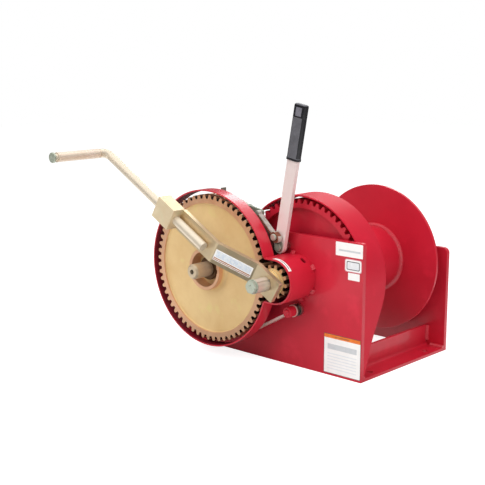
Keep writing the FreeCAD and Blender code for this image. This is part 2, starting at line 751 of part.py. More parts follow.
def crank_arm():
    """Flat bar that is bent forward and back again, with a keyed hole for the shaft's end."""
    slope = math.atan((PAD_FRONT - ARM_FRONT) / (SLOPE_END - PAD_END))
    shift = ARM_THICKNESS * math.tan(slope / 2)
    arm_back = ARM_FRONT + ARM_THICKNESS
    profile = [(ARM_START, PAD_FRONT), (PAD_END, PAD_FRONT), (SLOPE_END, ARM_FRONT)]
    profile += [(BLOCK_START, ARM_FRONT), (BLOCK_START, arm_back), (SLOPE_END + shift, arm_back)]
    profile += [(PAD_END + shift, CRANK_SHOULDER), (ARM_START, CRANK_SHOULDER)]
    corners = [crank_spot(reach, station, -ARM_HALF_WIDTH) for reach, station in profile]
    outline = Part.Face(Part.makePolygon(corners + corners[:1]))
    arm = outline.extrude(Vector(0, 0, 2 * ARM_HALF_WIDTH))
    arm = bent(arm, PAD_END, PAD_FRONT, ARM_BEND)
    arm = bent(arm, PAD_END + shift, CRANK_SHOULDER, ARM_BEND + ARM_THICKNESS)
    arm = bent(arm, SLOPE_END, ARM_FRONT, ARM_BEND + ARM_THICKNESS)
    arm = bent(arm, SLOPE_END + shift, arm_back, ARM_BEND)
    ends = [edge for edge in parallel_edges(arm, Vector(0, 1, 0)) if edge.CenterOfMass.x > DRUM_AXIS[0]]
    arm = arm.makeFillet(ARM_CORNER, ends)
    arm = arm.cut(disc(DRUM_AXIS, CRANK_END, PAD_FRONT - OVERCUT, CRANK_SHOULDER + OVERCUT))
    arm = arm.cut(disc(DRUM_AXIS, CRANK_RECESS, PAD_FRONT - OVERCUT, PAD_FRONT + 1.5))
    return turn(arm, DRUM_AXIS, CRANK_TURN).cut(crank_key())


def set_screw_spots():
    """Distances from the axis of the two set screws in the clamp block."""
    return [BLOCK_START + BLOCK_LENGTH * share for share in (0.27, 0.73)]


def set_screws(radius, length):
    """Round bars along the two set screws, from the block's lower face inward."""
    bars = []
    for reach in set_screw_spots():
        start = crank_spot(reach, ROD_STATION, -BLOCK_HALF_WIDTH)
        bars.append(Part.makeCylinder(radius, length, start, Vector(0, 0, 1)))
    return bars


def clamp_block():
    """Block welded to the arm's end that the crank rod slides through."""
    left = DRUM_AXIS[0] - BLOCK_START - BLOCK_LENGTH
    block = box((left, left + BLOCK_LENGTH), (BLOCK_FRONT, BLOCK_FRONT + BLOCK_DEPTH),
                (SHAFT_HEIGHT - BLOCK_HALF_WIDTH, SHAFT_HEIGHT + BLOCK_HALF_WIDTH))
    block = block.makeFillet(1.2, block.Edges)
    start = place((left - OVERCUT, SHAFT_HEIGHT), ROD_STATION)
    bore = Part.makeCylinder(ROD + RUNNING_GAP, BLOCK_LENGTH + 2 * OVERCUT, start, Vector(1, 0, 0))
    block = block.cut(bore)
    for bar in set_screws(5.0, BLOCK_HALF_WIDTH):
        block = block.cut(bar)
    return turn(block, DRUM_AXIS, CRANK_TURN)


def clamp_set_screws():
    """Two socket set screws, just clear of the rod."""
    length = BLOCK_HALF_WIDTH - ROD - END_PLAY
    screws = []
    for bar, socket in zip(set_screws(5.0, length), set_screws(2.2, 5.0)):
        screws.append(turn(bar.cut(socket), DRUM_AXIS, CRANK_TURN))
    return Part.makeCompound(screws)


def crank_washer():
    front = CRANK_END_FRONT - CRANK_WASHER_DEPTH
    return ring(DRUM_AXIS, CRANK_BOLT, CRANK_END + 0.3, front, CRANK_END_FRONT)


def crank_bolt():
    """Hexagon bolt in the end of the drive shaft, with the corners of its head turned off."""
    back = CRANK_END_FRONT - CRANK_WASHER_DEPTH
    front = back - CRANK_BOLT_HEAD
    face = 0.48 * CRANK_BOLT_FLATS
    cone = Part.makeCone(face, face + 1.73 * CRANK_BOLT_HEAD, CRANK_BOLT_HEAD,
                         place(DRUM_AXIS, front), Vector(0, 1, 0))
    head = hexagon(DRUM_AXIS, CRANK_BOLT_FLATS, front, back).common(cone)
    return head.fuse(disc(DRUM_AXIS, CRANK_BOLT, back, CRANK_END_FRONT + 25))


# Crank rod and its grip

def rod_spot(reach):
    """Spot on the rod's line at a distance from the drive shaft's axis."""
    return polar(DRUM_AXIS, reach, 180 + CRANK_TURN)


def crank_rod():
    """Round rod, bent once towards the user, that ends in a thinner spindle for the grip."""
    start = place(rod_spot(ROD_START), ROD_STATION)
    corner = place(rod_spot(ROD_REACH), ROD_STATION)
    outward = (corner - start).normalize()
    toward = Vector(0, -1, 0)
    bend_in = corner - outward * ROD_BEND
    bend_out = corner + toward * ROD_BEND
    centre = bend_in + toward * ROD_BEND
    bend_middle = centre + (outward - toward).normalize() * ROD_BEND
    edges = [Part.makeLine(start, bend_in), Part.Arc(bend_in, bend_middle, bend_out).toShape()]
    edges.append(Part.makeLine(bend_out, place(rod_spot(ROD_REACH), SPINDLE_BACK)))
    section = Part.Wire(Part.makeCircle(ROD, start, outward))
    rod = Part.Wire(edges).makePipeShell([section], True, True)
    spindle = disc(rod_spot(ROD_REACH), SPINDLE, GRIP_FRONT - 3, SPINDLE_BACK)
    neck = disc(rod_spot(ROD_REACH), SPINDLE - 0.5, SPINDLE_FRONT + CAP_DEPTH, GRIP_FRONT - 3)
    return rod.multiFuse([spindle, neck])


def grip_sleeve():
    """Loose tube that turns on the spindle."""
    sleeve = ring(rod_spot(ROD_REACH), SPINDLE + RUNNING_GAP, GRIP, GRIP_FRONT, GRIP_BACK)
    ends = circles(sleeve, GRIP, GRIP_FRONT) + circles(sleeve, GRIP, GRIP_BACK)
    return sleeve.makeFillet(0.8, ends)


def grip_collar():
    return ring(rod_spot(ROD_REACH), SPINDLE, GRIP + 0.4, GRIP_FRONT - 2.6, GRIP_FRONT - END_PLAY)


def grip_end_cap():
    cap = disc(rod_spot(ROD_REACH), 11, SPINDLE_FRONT, SPINDLE_FRONT + CAP_DEPTH)
    return cap.makeFillet(1.5, circles(cap, 11, SPINDLE_FRONT))


# Band brake

def brake_band():
    return arc_strip(LAY_AXIS, BAND_INNER, BAND_OUTER, BAND_START, BAND_END, BRAKE_FRONT, BRAKE_BACK)


def brake_lining():
    stations = (BRAKE_FRONT, BRAKE_BACK)
    return arc_strip(LAY_AXIS, LINING_INNER, BAND_INNER, BAND_START + 2, BAND_END - 5, *stations)


def band_rivets():
    """Two rows of low rivet heads on the outside of the band."""
    rivets = []
    for step in range(8):
        for station in (BRAKE_FRONT + 8, BRAKE_BACK - 8):
            start = place((LAY_AXIS[0] + BAND_OUTER, SHAFT_HEIGHT), station)
            head = Part.makeCone(3.6, 2.4, 1.3, start, Vector(1, 0, 0))
            rivets.append(turn(head, LAY_AXIS, 75 + 27 * step))
    return Part.makeCompound(rivets)


def band_tab():
    """Upright stop tab on the crown of the band."""
    foot = arc_strip(LAY_AXIS, BAND_OUTER, BAND_OUTER + 3, 84, 96, -31, -17)
    crown = SHAFT_HEIGHT + BAND_OUTER + 2
    post = box((LAY_AXIS[0] - 1.5, LAY_AXIS[0] + 1.5), (-31, -17), (crown, crown + 16))
    return foot.fuse(post)


def band_tail():
    """Leaf on the band's lower end, and the bar welded to it that runs straight to the anchor's eye."""
    inner = BAND_OUTER + TAIL_LAP
    stations = (TAIL_FRONT, TAIL_BACK)
    lap = arc_strip(LAY_AXIS, BAND_OUTER, inner, BAND_END - 14, BAND_END, *stations)
    start = polar(LAY_AXIS, inner - 0.5, BAND_END)
    low = polar(LAY_AXIS, inner + TAIL_THICKNESS, BAND_END)
    eye = place(ANCHOR, 0) - place(start, 0)
    heading = polar((0, 0), 1, BAND_END + 90)
    length = eye.x * heading[0] + eye.z * heading[1]

    def along(spot, distance):
        return (spot[0] + heading[0] * distance, spot[1] + heading[1] * distance)

    outline = [along(start, -TAIL_WELD), along(low, -TAIL_WELD), along(low, length), along(start, length)]
    bar = slab(outline, *stations)
    bar = bar.cut(disc(ANCHOR, ANCHOR_EYE, TAIL_FRONT - OVERCUT, TAIL_BACK + OVERCUT))
    return lap.fuse(bar)


def anchor_eye():
    eye = ring(ANCHOR, ANCHOR_STUD, ANCHOR_EYE, TAIL_FRONT, TAIL_BACK)
    return eye.makeChamfer(1.0, circles(eye, ANCHOR_EYE, TAIL_FRONT))


def anchor_washer():
    return ring(ANCHOR, ANCHOR_STUD, ANCHOR_WASHER, TAIL_BACK, ANCHOR_WASHER_BACK)


def anchor_nut():
    nut = hexagon(ANCHOR, 19, ANCHOR_WASHER_BACK, ANCHOR_NUT_BACK)
    return nut.cut(disc(ANCHOR, ANCHOR_STUD, ANCHOR_WASHER_BACK - OVERCUT, ANCHOR_NUT_BACK + OVERCUT))


def anchor_stud():
    stud = disc(ANCHOR, ANCHOR_STUD, TAIL_FRONT - 3, PLATE)
    return stud.makeChamfer(1.2, circles(stud, ANCHOR_STUD, TAIL_FRONT - 3))


HINGE = polar(LAY_AXIS, HINGE_RADIUS, HINGE_ANGLE)


def band_hinge():
    """Leaf that laps the band's upper end, its lug, and the headed pin that holds the strap."""
    lap = (BAND_START, BAND_START + 9)
    leaf = arc_strip(LAY_AXIS, BAND_OUTER, BAND_OUTER + 2, *lap, BRAKE_FRONT, BRAKE_BACK)
    root = polar(LAY_AXIS, BAND_OUTER + 2, BAND_START + 4)
    lug = capsule(root, HINGE, 6.0, LUG_FRONT, LUG_BACK)
    lug = lug.cut(disc(LAY_AXIS, BAND_OUTER, LUG_FRONT - OVERCUT, LUG_BACK + OVERCUT))
    pin = disc(HINGE, HINGE_PIN, STRAP_FRONT - 0.3, LUG_BACK + 1.5)
    head = disc(HINGE, 5.0, STRAP_FRONT - 1.8, STRAP_FRONT - 0.3)
    return Part.makeCompound([leaf.fuse(lug).cut(pin), pin.fuse(head)])


def strap_spot(distance):
    """Spot on the strap's line, from the hinge towards the lever's pin."""
    span = math.dist(HINGE, LEVER_PIN_PLACE)
    share = distance / span
    return tuple(a + (b - a) * share for a, b in zip(HINGE, LEVER_PIN_PLACE))


def brake_strap():
    """Link from the band's hinge to the lever's pin, with a slotted loop round the pin."""
    span = math.dist(HINGE, LEVER_PIN_PLACE)
    stations = (STRAP_FRONT, STRAP_BACK)
    beyond = (STRAP_FRONT - OVERCUT, STRAP_BACK + OVERCUT)
    loop_ends = (strap_spot(span - SLOT_IN), strap_spot(span + SLOT_OUT))
    strip = capsule(HINGE, strap_spot(span - STRAP_LOOP), STRAP_HALF, *stations)
    strap = strip.multiFuse([disc(HINGE, KNUCKLE, *stations), capsule(*loop_ends, STRAP_LOOP, *stations)])
    strap = strap.cut(capsule(*loop_ends, SLOT_ROUND, *beyond))
    return strap.cut(disc(HINGE, HINGE_PIN + RUNNING_GAP, *beyond))


# Brake lever

def lever_spot(distance, offset=0.0):
    """Spot along the lever from its pivot, and to its right."""
    lean = math.radians(LEVER_LEAN)
    x = LEVER_PIVOT[0] + distance * math.sin(lean) + offset * math.cos(lean)
    z = LEVER_PIVOT[1] + distance * math.cos(lean) - offset * math.sin(lean)
    return (x, z)


def lever_slab(start, end, half_width, front, back):
    """Rectangular slab along the lever."""
    outline = [lever_spot(start, -half_width), lever_spot(start, half_width)]
    outline += [lever_spot(end, half_width), lever_spot(end, -half_width)]
    return slab(outline, front, back)


def brake_lever():
    """Flat bar with a round lower end on the pivot bolt."""
    half = LEVER_WIDTH / 2
    bar = lever_slab(0, LEVER_LENGTH, half, LEVER_FRONT, LEVER_BACK)
    bar = bar.fuse(disc(LEVER_PIVOT, half, LEVER_FRONT, LEVER_BACK)).removeSplitter()
    for spot, radius in ((LEVER_PIVOT, PIVOT_BOLT + RUNNING_GAP), (LEVER_PIN_PLACE, LEVER_PIN)):
        bar = bar.cut(disc(spot, radius, LEVER_FRONT - OVERCUT, LEVER_BACK + OVERCUT))
    return bar


def lever_grip():
    """Dipped vinyl grip with a thicker rim at its lower end."""
    middle = (LEVER_FRONT + LEVER_BACK) / 2
    half = LEVER_GRIP_THICKNESS / 2
    stations = (middle - half, middle + half)
    sheath = lever_slab(LEVER_GRIP_START, LEVER_GRIP_END, LEVER_GRIP_WIDTH / 2, *stations)
    along = place(lever_spot(1), 0) - place(LEVER_PIVOT, 0)
    sheath = sheath.makeFillet(5.5, parallel_edges(sheath, along))
    tops = [edge for edge in sheath.Edges if edge.BoundBox.ZMin > place(lever_spot(LEVER_LENGTH), 0).z]
    sheath = sheath.makeFillet(3.0, tops)
    bar = lever_slab(LEVER_GRIP_START - OVERCUT, LEVER_LENGTH, LEVER_WIDTH / 2, LEVER_FRONT, LEVER_BACK)
    return sheath.cut(bar)


def lever_cover():
    """Thin plate on the front of the lever, under the pivot bolt's head."""
    front = LEVER_FRONT - COVER_DEPTH
    cover = capsule(LEVER_PIVOT, lever_spot(5), 9.5, front, LEVER_FRONT)
    hole = disc(LEVER_PIVOT, PIVOT_BOLT + RUNNING_GAP, front - OVERCUT, LEVER_FRONT + OVERCUT)
    return cover.cut(hole)


def lever_boss():
    """Boss on the front of the lever round the strap's pin."""
    return ring(LEVER_PIN_PLACE, LEVER_PIN, 7.0, LEVER_FRONT - COVER_DEPTH, LEVER_FRONT)


def lever_pin():
    """Pin of the strap's loop, with a domed head in front and a riveted end behind the lever."""
    front = STRAP_FRONT - 0.5
    head = disc(LEVER_PIN_PLACE, 7.0, front - 4, front)
    head = head.makeFillet(1.8, circles(head, 7.0, front - 4))
    tail = disc(LEVER_PIN_PLACE, 5.5, LEVER_BACK, LEVER_BACK + 2.0)
    return head.multiFuse([disc(LEVER_PIN_PLACE, LEVER_PIN, front, LEVER_BACK), tail])


def lever_pivot_bolt():
    head_back = LEVER_FRONT - COVER_DEPTH - 0.3
    head = hexagon(LEVER_PIVOT, 14.3, head_back - 4, head_back)
    return head.fuse(disc(LEVER_PIVOT, PIVOT_BOLT, head_back, PLATE))


def plate_spacers():
    """Sleeves that hold the lever and the anchor's nut off the near plate."""
    lever_sleeve = ring(LEVER_PIVOT, PIVOT_BOLT, 10, LEVER_BACK + 0.3, 0)
    anchor_sleeve = ring(ANCHOR, ANCHOR_STUD, 13, ANCHOR_NUT_BACK, 0)
    return Part.makeCompound([lever_sleeve, anchor_sleeve])


NODES = {
    "near_side_plate": near_side_plate,
    "far_side_plate": far_side_plate,
    "right_base_angle": lambda: base_angle(1),
    "left_base_angle": lambda: base_angle(-1),
    "frame_welds": frame_welds,
    "near_bushings": near_bushings,
    "far_bushings": far_bushings,
    "bearing_housing": bearing_housing,
    "grease_fitting": grease_fitting,
    "gear_guard": gear_guard,
    "gear_guard_struts": gear_guard_struts,
    "pinion_guard": pinion_guard,
    "drum_gear_guard": drum_gear_guard,
    "intermediate_shaft": intermediate_shaft,
    "front_gear": front_gear,
    "front_gear_key": front_gear_key,
    "hub_collar": hub_collar,
    "brake_drum": brake_drum,
    "rear_pinion": rear_pinion,
    "intermediate_end_collar": lambda: end_collar(LAY_AXIS),
    "drum_gear": drum_gear,
    "drum_barrel": drum_barrel,
    "near_flange": near_flange,
    "far_flange": far_flange,
    "far_hub": far_hub,
    "drum_bushings": drum_bushings,
    "drum_welds": drum_welds,
    "rope_clamp": rope_clamp,
    "rope_clamp_bolts": rope_clamp_bolts,
    "drive_shaft": drive_shaft,
    "drive_pinion": drive_pinion,
    "drive_end_collar": lambda: end_collar(DRUM_AXIS),
    "crank_key": crank_key,
    "crank_arm": crank_arm,
    "clamp_block": clamp_block,
    "clamp_set_screws": clamp_set_screws,
    "crank_washer": crank_washer,
    "crank_bolt": crank_bolt,
    "crank_rod": crank_rod,
    "grip_collar": grip_collar,
    "grip_end_cap": grip_end_cap,
    "grip_sleeve": grip_sleeve,
    "brake_band": brake_band,
    "brake_lining": brake_lining,
    "band_rivets": band_rivets,
    "band_tab": band_tab,
    "band_tail": band_tail,
    "band_hinge": band_hinge,
    "anchor_eye": anchor_eye,
    "anchor_washer": anchor_washer,
    "anchor_nut": anchor_nut,
    "anchor_stud": anchor_stud,
    "brake_strap": brake_strap,
    "brake_lever": brake_lever,
    "lever_grip": lever_grip,
    "lever_cover": lever_cover,
    "lever_boss": lever_boss,
    "lever_pin": lever_pin,
    "lever_pivot_bolt": lever_pivot_bolt,
    "plate_spacers": plate_spacers,
}

os.makedirs("parts", exist_ok=True)
for name, make in NODES.items():
    shape = make()
    if not shape.isValid() or shape.Volume <= 0:
        raise ValueError("bad shape: " + name)
    shape.exportStep("parts/" + name + ".step")
    print(name, round(shape.Volume / 1000, 2), "cm3,", len(shape.Solids), "solids")
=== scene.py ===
import json
import logging
import math
from dataclasses import dataclass, replace
from enum import Enum
from typing import Callable, Iterable, Sequence

import bmesh
import bpy
from mathutils import Matrix, Vector


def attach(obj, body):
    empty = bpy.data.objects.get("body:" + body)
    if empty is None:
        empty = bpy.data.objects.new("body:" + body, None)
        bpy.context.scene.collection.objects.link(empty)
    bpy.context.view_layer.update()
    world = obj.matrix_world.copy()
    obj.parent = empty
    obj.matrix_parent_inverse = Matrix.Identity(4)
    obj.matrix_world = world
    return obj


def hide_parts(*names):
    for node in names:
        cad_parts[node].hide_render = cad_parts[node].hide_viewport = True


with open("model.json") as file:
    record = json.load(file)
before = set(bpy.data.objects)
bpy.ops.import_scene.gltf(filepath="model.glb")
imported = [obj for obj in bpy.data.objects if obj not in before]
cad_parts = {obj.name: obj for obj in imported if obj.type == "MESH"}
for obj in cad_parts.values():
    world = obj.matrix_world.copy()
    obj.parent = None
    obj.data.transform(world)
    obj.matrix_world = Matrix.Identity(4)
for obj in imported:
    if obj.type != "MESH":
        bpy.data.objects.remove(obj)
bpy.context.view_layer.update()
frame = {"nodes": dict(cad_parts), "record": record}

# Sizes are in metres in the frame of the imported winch: +X along the plates, +Y to the far side, +Z up.
# A station is a distance behind the outer face of the near plate.
MM = 0.001
OVERALL_WIDTH = 311.0 * MM
SHAFT_HEIGHT = 190.5 * MM
DRUM_X = 49.4 * MM
HOOD_X = 52.0 * MM
HOOD_RADIUS = 46.0 * MM
CENTRE_DISTANCE = 182.88 * MM
PLATE = 9.525 * MM
PLATE_RIGHT = 215.0 * MM
CRANK_RISE = math.radians(30.0)

DRUM_AXIS = (DRUM_X, SHAFT_HEIGHT)
LAY_AXIS = (DRUM_X - CENTRE_DISTANCE, SHAFT_HEIGHT)
HOOD_AXIS = (HOOD_X, SHAFT_HEIGHT)

# A label's sheet, how far each printed layer stands above the one below, and the steps round its corners
SHEET_DEPTH = 0.2 * MM
SHEET_RISE = 0.08 * MM
SHEET_CORNER_STEPS = 4

# Copies of CAD nodes: corners closer than the gap are merged, and faces flatter than the turn are joined
MERGE_GAP = 0.004 * MM
FLAT_TURN = math.radians(0.3)
# Corners nearer to a plane than this lie on it
ON_PLANE = 0.01 * MM
# Edges that turn by more than this are rounded
SHARP_TURN = math.radians(30.0)
# Edges that turn by more than this stay crisp in the shading, on most pieces and on weld beads
CRISP_TURN = math.radians(36.0)
WELD_CRISP_TURN = math.radians(60.0)
# Roundings: none, thin strip and pins, small turned parts, nuts, thick strip
AS_CUT = 0.0
FINE_EDGE = 0.3 * MM
SMALL_EDGE = 0.4 * MM
NUT_EDGE = 0.5 * MM
THICK_EDGE = 0.6 * MM

# Rings of a wave texture at scale 1 lie this far apart
WAVE_SPACING = 0.314
# Layered noise: its range over most of a surface, and its layers and their strength in tones and in grain
NOISE_LOW = 0.3
NOISE_HIGH = 0.7
NOISE_MIDDLE = 0.5
CLOUD_LAYERS = 4.0
CLOUD_STRENGTH = 0.6
GRAIN_LAYERS = 3.0
GRAIN_STRENGTH = 0.55
# Patches of the third tone: their size in blotches, and the noise level at which they come through
PATCH_BLOTCHES = 0.61
PATCH_LEVEL = 0.72
PATCH_LEVEL_DROP = 0.4
PATCH_FADE_IN = 0.06
PATCH_FADE_OUT = 0.12
# Cells: the size of a casting's pits in grains, and how soft the pits and the pebbles are
PIT_GRAINS = 1.7
PIT_SOFTNESS = 0.6
PEBBLE_SOFTNESS = 0.8
# Waves: how far lathe rings and yarns wander, the rings' layers, and the grain's share over the rings
RING_WANDER = 0.4
RING_LAYERS = 1.0
RING_GRAIN = 0.6
YARN_WANDER = 0.6

LOG = logging.getLogger("winch")
RECORD = frame["record"]
BODY_OF = {node: body for body, nodes in RECORD["behaviour"]["bodies"].items() for node in nodes}
SLOT_OF = {part["node"]: part["material_slot"] for part in RECORD["subparts"]}


def station_y(station: float) -> float:
    """Y of a station."""
    return station - OVERALL_WIDTH / 2


def linear(colour: str) -> tuple[float, float, float, float]:
    """Turn an sRGB hex colour to linear light.

    Args:
        colour: The colour as a hash and six hex digits.

    Returns:
        Red, green, blue and an alpha of 1.
    """
    channels = [int(colour[place:place + 2], 16) / 255 for place in (1, 3, 5)]
    # The sRGB curve: a straight foot and a power above it
    red, green, blue = ((c / 12.92 if c <= 0.04045 else ((c + 0.055) / 1.055) ** 2.4) for c in channels)
    return (red, green, blue, 1.0)


def add_node(tree: bpy.types.NodeTree, kind: str, settings: dict | None = None,
             inputs: dict | None = None) -> bpy.types.Node:
    """Add a node with its settings, values and links.

    Args:
        tree: The node tree that gets the node.
        kind: The node's type name.
        settings: Properties of the node by name.
        inputs: Values, or output sockets to link, by input name or number.

    Returns:
        The new node.
    """
    node = tree.nodes.new(kind)
    for name, value in (settings or {}).items():
        setattr(node, name, value)
    for name, value in (inputs or {}).items():
        if isinstance(value, bpy.types.NodeSocket):
            tree.links.new(value, node.inputs[name])
        else:
            node.inputs[name].default_value = value
    return node


def per_metre(size: float) -> float:
    """Noise or cell scale that gives a pattern of a real size in metres."""
    return 1.0 / size


class Surface(Enum):
    """How a surface was made, which sets the form of its relief."""

    SPRAYED = "orange peel of a sprayed film"
    CAST = "sand grain of a casting with small pits"
    DRAWN = "fine even grain of drawn or rolled bar"
    TURNED = "rings left by the lathe"
    WOVEN = "crossed yarns"
    PEBBLED = "small rounded pebbles of a dipped coat"
    PRINTED = "smooth printed film"


@dataclass(frozen=True)
class Finish:
    """A surface finish: two tones that drift into each other, a third that breaks through, and a relief.

    Attributes:
        name: The material's name.
        light: Lighter tone, sRGB hex.
        dark: Darker tone, sRGB hex.
        accent: Tone of the patches that break through, sRGB hex.
        accent_share: How much of the surface the patches take, 0 to 1.
        surface: How the surface was made.
        metallic: Metal share of the surface.
        roughness: Middle roughness.
        roughness_drift: How far the roughness swings either way.
        blotch: Size of the tone patches in metres.
        contrast: Half width of the step between the tones, small is crisp.
        grain: Size of the relief in metres.
        relief: Height of the relief in metres.
        coat: Weight of a clear gloss film.
        coat_roughness: Roughness of that film.
        specular: Strength of the mirror part of the surface itself.
        centre: Middle of the turned rings, in metres.
    """

    name: str
    light: str
    dark: str
    accent: str
    accent_share: float = 0.2
    surface: Surface = Surface.CAST
    metallic: float = 0.0
    roughness: float = 0.4
    roughness_drift: float = 0.05
    blotch: float = 0.06
    contrast: float = 0.25
    grain: float = 0.003
    relief: float = 0.00004
    coat: float = 0.0
    coat_roughness: float = 0.1
    specular: float = 0.5
    centre: tuple[float, float, float] = (0.0, 0.0, 0.0)

    def material(self) -> bpy.types.Material:
        """Make the material once and give it back after that."""
        return bpy.data.materials.get(self.name) or self.build()

    def build(self) -> bpy.types.Material:
        """Build the node tree.

        Returns:
            The new material.
        """
        made = bpy.data.materials.new(self.name)
        made.use_nodes = True
        tree = made.node_tree
        tree.nodes.clear()
        place = add_node(tree, "ShaderNodeTexCoord").outputs["Object"]
        shift = tuple(-part for part in self.centre)
        centred = add_node(tree, "ShaderNodeMapping", inputs={"Vector": place, "Location": shift}).outputs[0]
        polish = add_node(tree, "ShaderNodeMapRange", inputs={
            "Value": self.cloud(tree, centred, self.blotch), "From Min": NOISE_LOW, "From Max": NOISE_HIGH,
            "To Min": self.roughness - self.roughness_drift,
            "To Max": self.roughness + self.roughness_drift}).outputs["Result"]
        bump = add_node(tree, "ShaderNodeBump", inputs={
            "Height": self.height(tree, centred), "Distance": self.relief,
            "Strength": 1.0}).outputs["Normal"]
        shader = add_node(tree, "ShaderNodeBsdfPrincipled", inputs={
            "Base Color": self.tone(tree, centred), "Metallic": self.metallic, "Roughness": polish,
            "Normal": bump, "Specular IOR Level": self.specular, "Coat Weight": self.coat,
            "Coat Roughness": self.coat_roughness}).outputs["BSDF"]
        add_node(tree, "ShaderNodeOutputMaterial", inputs={"Surface": shader})
        return made

    def cloud(self, tree: bpy.types.NodeTree, centred: bpy.types.NodeSocket,
              size: float) -> bpy.types.NodeSocket:
        """Slow noise of a size that moves the tone and the polish."""
        return add_node(tree, "ShaderNodeTexNoise", inputs={
            "Vector": centred, "Scale": per_metre(size), "Detail": CLOUD_LAYERS,
            "Roughness": CLOUD_STRENGTH}).outputs["Fac"]

    def tone(self, tree: bpy.types.NodeTree, centred: bpy.types.NodeSocket) -> bpy.types.NodeSocket:
        """Colour that drifts between the tones.

        Args:
            tree: The material's node tree.
            centred: Object coordinates from the middle of the pattern.

        Returns:
            The colour's output socket.
        """
        share = add_node(tree, "ShaderNodeMapRange", inputs={
            "Value": self.cloud(tree, centred, self.blotch), "From Min": NOISE_MIDDLE - self.contrast,
            "From Max": NOISE_MIDDLE + self.contrast}).outputs["Result"]
        ground = add_node(tree, "ShaderNodeMix", {"data_type": "RGBA"}, {
            0: share, 6: linear(self.dark), 7: linear(self.light)}).outputs[2]
        level = PATCH_LEVEL - PATCH_LEVEL_DROP * self.accent_share
        patch = add_node(tree, "ShaderNodeMapRange", inputs={
            "Value": self.cloud(tree, centred, self.blotch * PATCH_BLOTCHES),
            "From Min": level - PATCH_FADE_IN, "From Max": level + PATCH_FADE_OUT}).outputs["Result"]
        return add_node(tree, "ShaderNodeMix", {"data_type": "RGBA"}, {
            0: patch, 6: ground, 7: linear(self.accent)}).outputs[2]

    def height(self, tree: bpy.types.NodeTree, centred: bpy.types.NodeSocket) -> bpy.types.NodeSocket:
        """Relief of the surface.

        Args:
            tree: The material's node tree.
            centred: Object coordinates from the middle of the pattern.

        Returns:
            The height's output socket.
        """
        grain = add_node(tree, "ShaderNodeTexNoise", inputs={
            "Vector": centred, "Scale": per_metre(self.grain), "Detail": GRAIN_LAYERS,
            "Roughness": GRAIN_STRENGTH}).outputs["Fac"]
        if self.surface is Surface.CAST:
            pits = self.cells(tree, centred, self.grain * PIT_GRAINS, PIT_SOFTNESS)
            return add_node(tree, "ShaderNodeMath", {"operation": "ADD"}, {0: grain, 1: pits}).outputs[0]
        if self.surface is Surface.TURNED:
            rings = add_node(tree, "ShaderNodeTexWave", {"wave_type": "RINGS", "rings_direction": "Y"}, {
                "Vector": centred, "Scale": WAVE_SPACING / self.grain, "Distortion": RING_WANDER,
                "Detail": RING_LAYERS}).outputs["Fac"]
            return add_node(tree, "ShaderNodeMath", {"operation": "MULTIPLY_ADD"}, {
                0: grain, 1: RING_GRAIN, 2: rings}).outputs[0]
        if self.surface is Surface.WOVEN:
            warp, weft = (add_node(tree, "ShaderNodeTexWave", {"bands_direction": way}, {
                "Vector": centred, "Scale": WAVE_SPACING / self.grain,
                "Distortion": YARN_WANDER}).outputs["Fac"] for way in ("X", "Y"))
            return add_node(tree, "ShaderNodeMath", {"operation": "MAXIMUM"}, {0: warp, 1: weft}).outputs[0]
        if self.surface is Surface.PEBBLED:
            return self.cells(tree, centred, self.grain, PEBBLE_SOFTNESS)
        return grain

    def cells(self, tree: bpy.types.NodeTree, centred: bpy.types.NodeSocket, size: float,
              softness: float) -> bpy.types.NodeSocket:
        """Soft round cells of a size, as pits or pebbles."""
        return add_node(tree, "ShaderNodeTexVoronoi", {"feature": "SMOOTH_F1"}, {
            "Vector": centred, "Scale": per_metre(size), "Smoothness": softness}).outputs["Distance"]


# Alkyd machine enamel, sprayed: an even deep red under a soft gloss, with a faint orange peel
RED_ENAMEL = Finish("red_machine_enamel", "#CC1C34", "#BE182E", "#D2223A", surface=Surface.SPRAYED,
                    roughness=0.5, roughness_drift=0.04, blotch=0.09, grain=0.006, relief=0.00003,
                    coat=0.4, coat_roughness=0.14)
# The same enamel where it flowed out thickest, on the gear's guard and the welds: the wettest gloss
WET_ENAMEL = replace(RED_ENAMEL, name="red_enamel_wet", coat=1.0, coat_roughness=0.2)
# The same enamel where it went on driest, over the drum gear's guard: satin
DRY_ENAMEL = replace(RED_ENAMEL, name="red_enamel_satin", coat=0.0, roughness=0.55, specular=0.25)
# Enamel on the inner side of the guards, under a film of gear oil: dark maroon, which paints the shade inside
# the guards
OILED_AND_SHADED_ENAMEL = replace(RED_ENAMEL, name="red_enamel_oiled_and_painted_shade", light="#861827", dark="#64131F", accent="#4A1016",
                       coat=0.0, roughness=0.6, specular=0.2, blotch=0.03)
# Yellow chromate on the rough web of an iron casting: warm gold with yellower breaks, satin and grainy
CAST_GOLD = Finish("yellow_chromate_casting", "#F3D59C", "#E2BC82", "#EAD690", surface=Surface.CAST,
                   metallic=0.3, roughness=0.5, roughness_drift=0.08, blotch=0.07, grain=0.0024,
                   relief=0.00005)
# The same plating on machined cast iron, with fine tool marks; its tone, pinker than the web, is a painted
# reflection
MACHINED_GOLD_PAINTED_REFLECTION = Finish("yellow_chromate_machined_painted_reflection", "#EEBE98", "#E0AA86", "#EBCA9E", surface=Surface.TURNED,
                       metallic=0.6, roughness=0.42, roughness_drift=0.06, blotch=0.03, grain=0.0012,
                       relief=0.00001, centre=(LAY_AXIS[0], 0.0, LAY_AXIS[1]))
# Yellow zinc on hot rolled bar: pale straw with greenish and pinkish breaks, smoother than the casting
CRANK_GOLD = Finish("yellow_zinc_bar", "#F2E0BE", "#E2C89E", "#E2D8B2", surface=Surface.DRAWN, metallic=0.9,
                    roughness=0.4, roughness_drift=0.05, blotch=0.05, grain=0.0015, relief=0.000006)
# The same zinc on the milled block: plainer and paler
BLOCK_GOLD = replace(CRANK_GOLD, name="yellow_zinc_block", metallic=0.45, roughness=0.45)
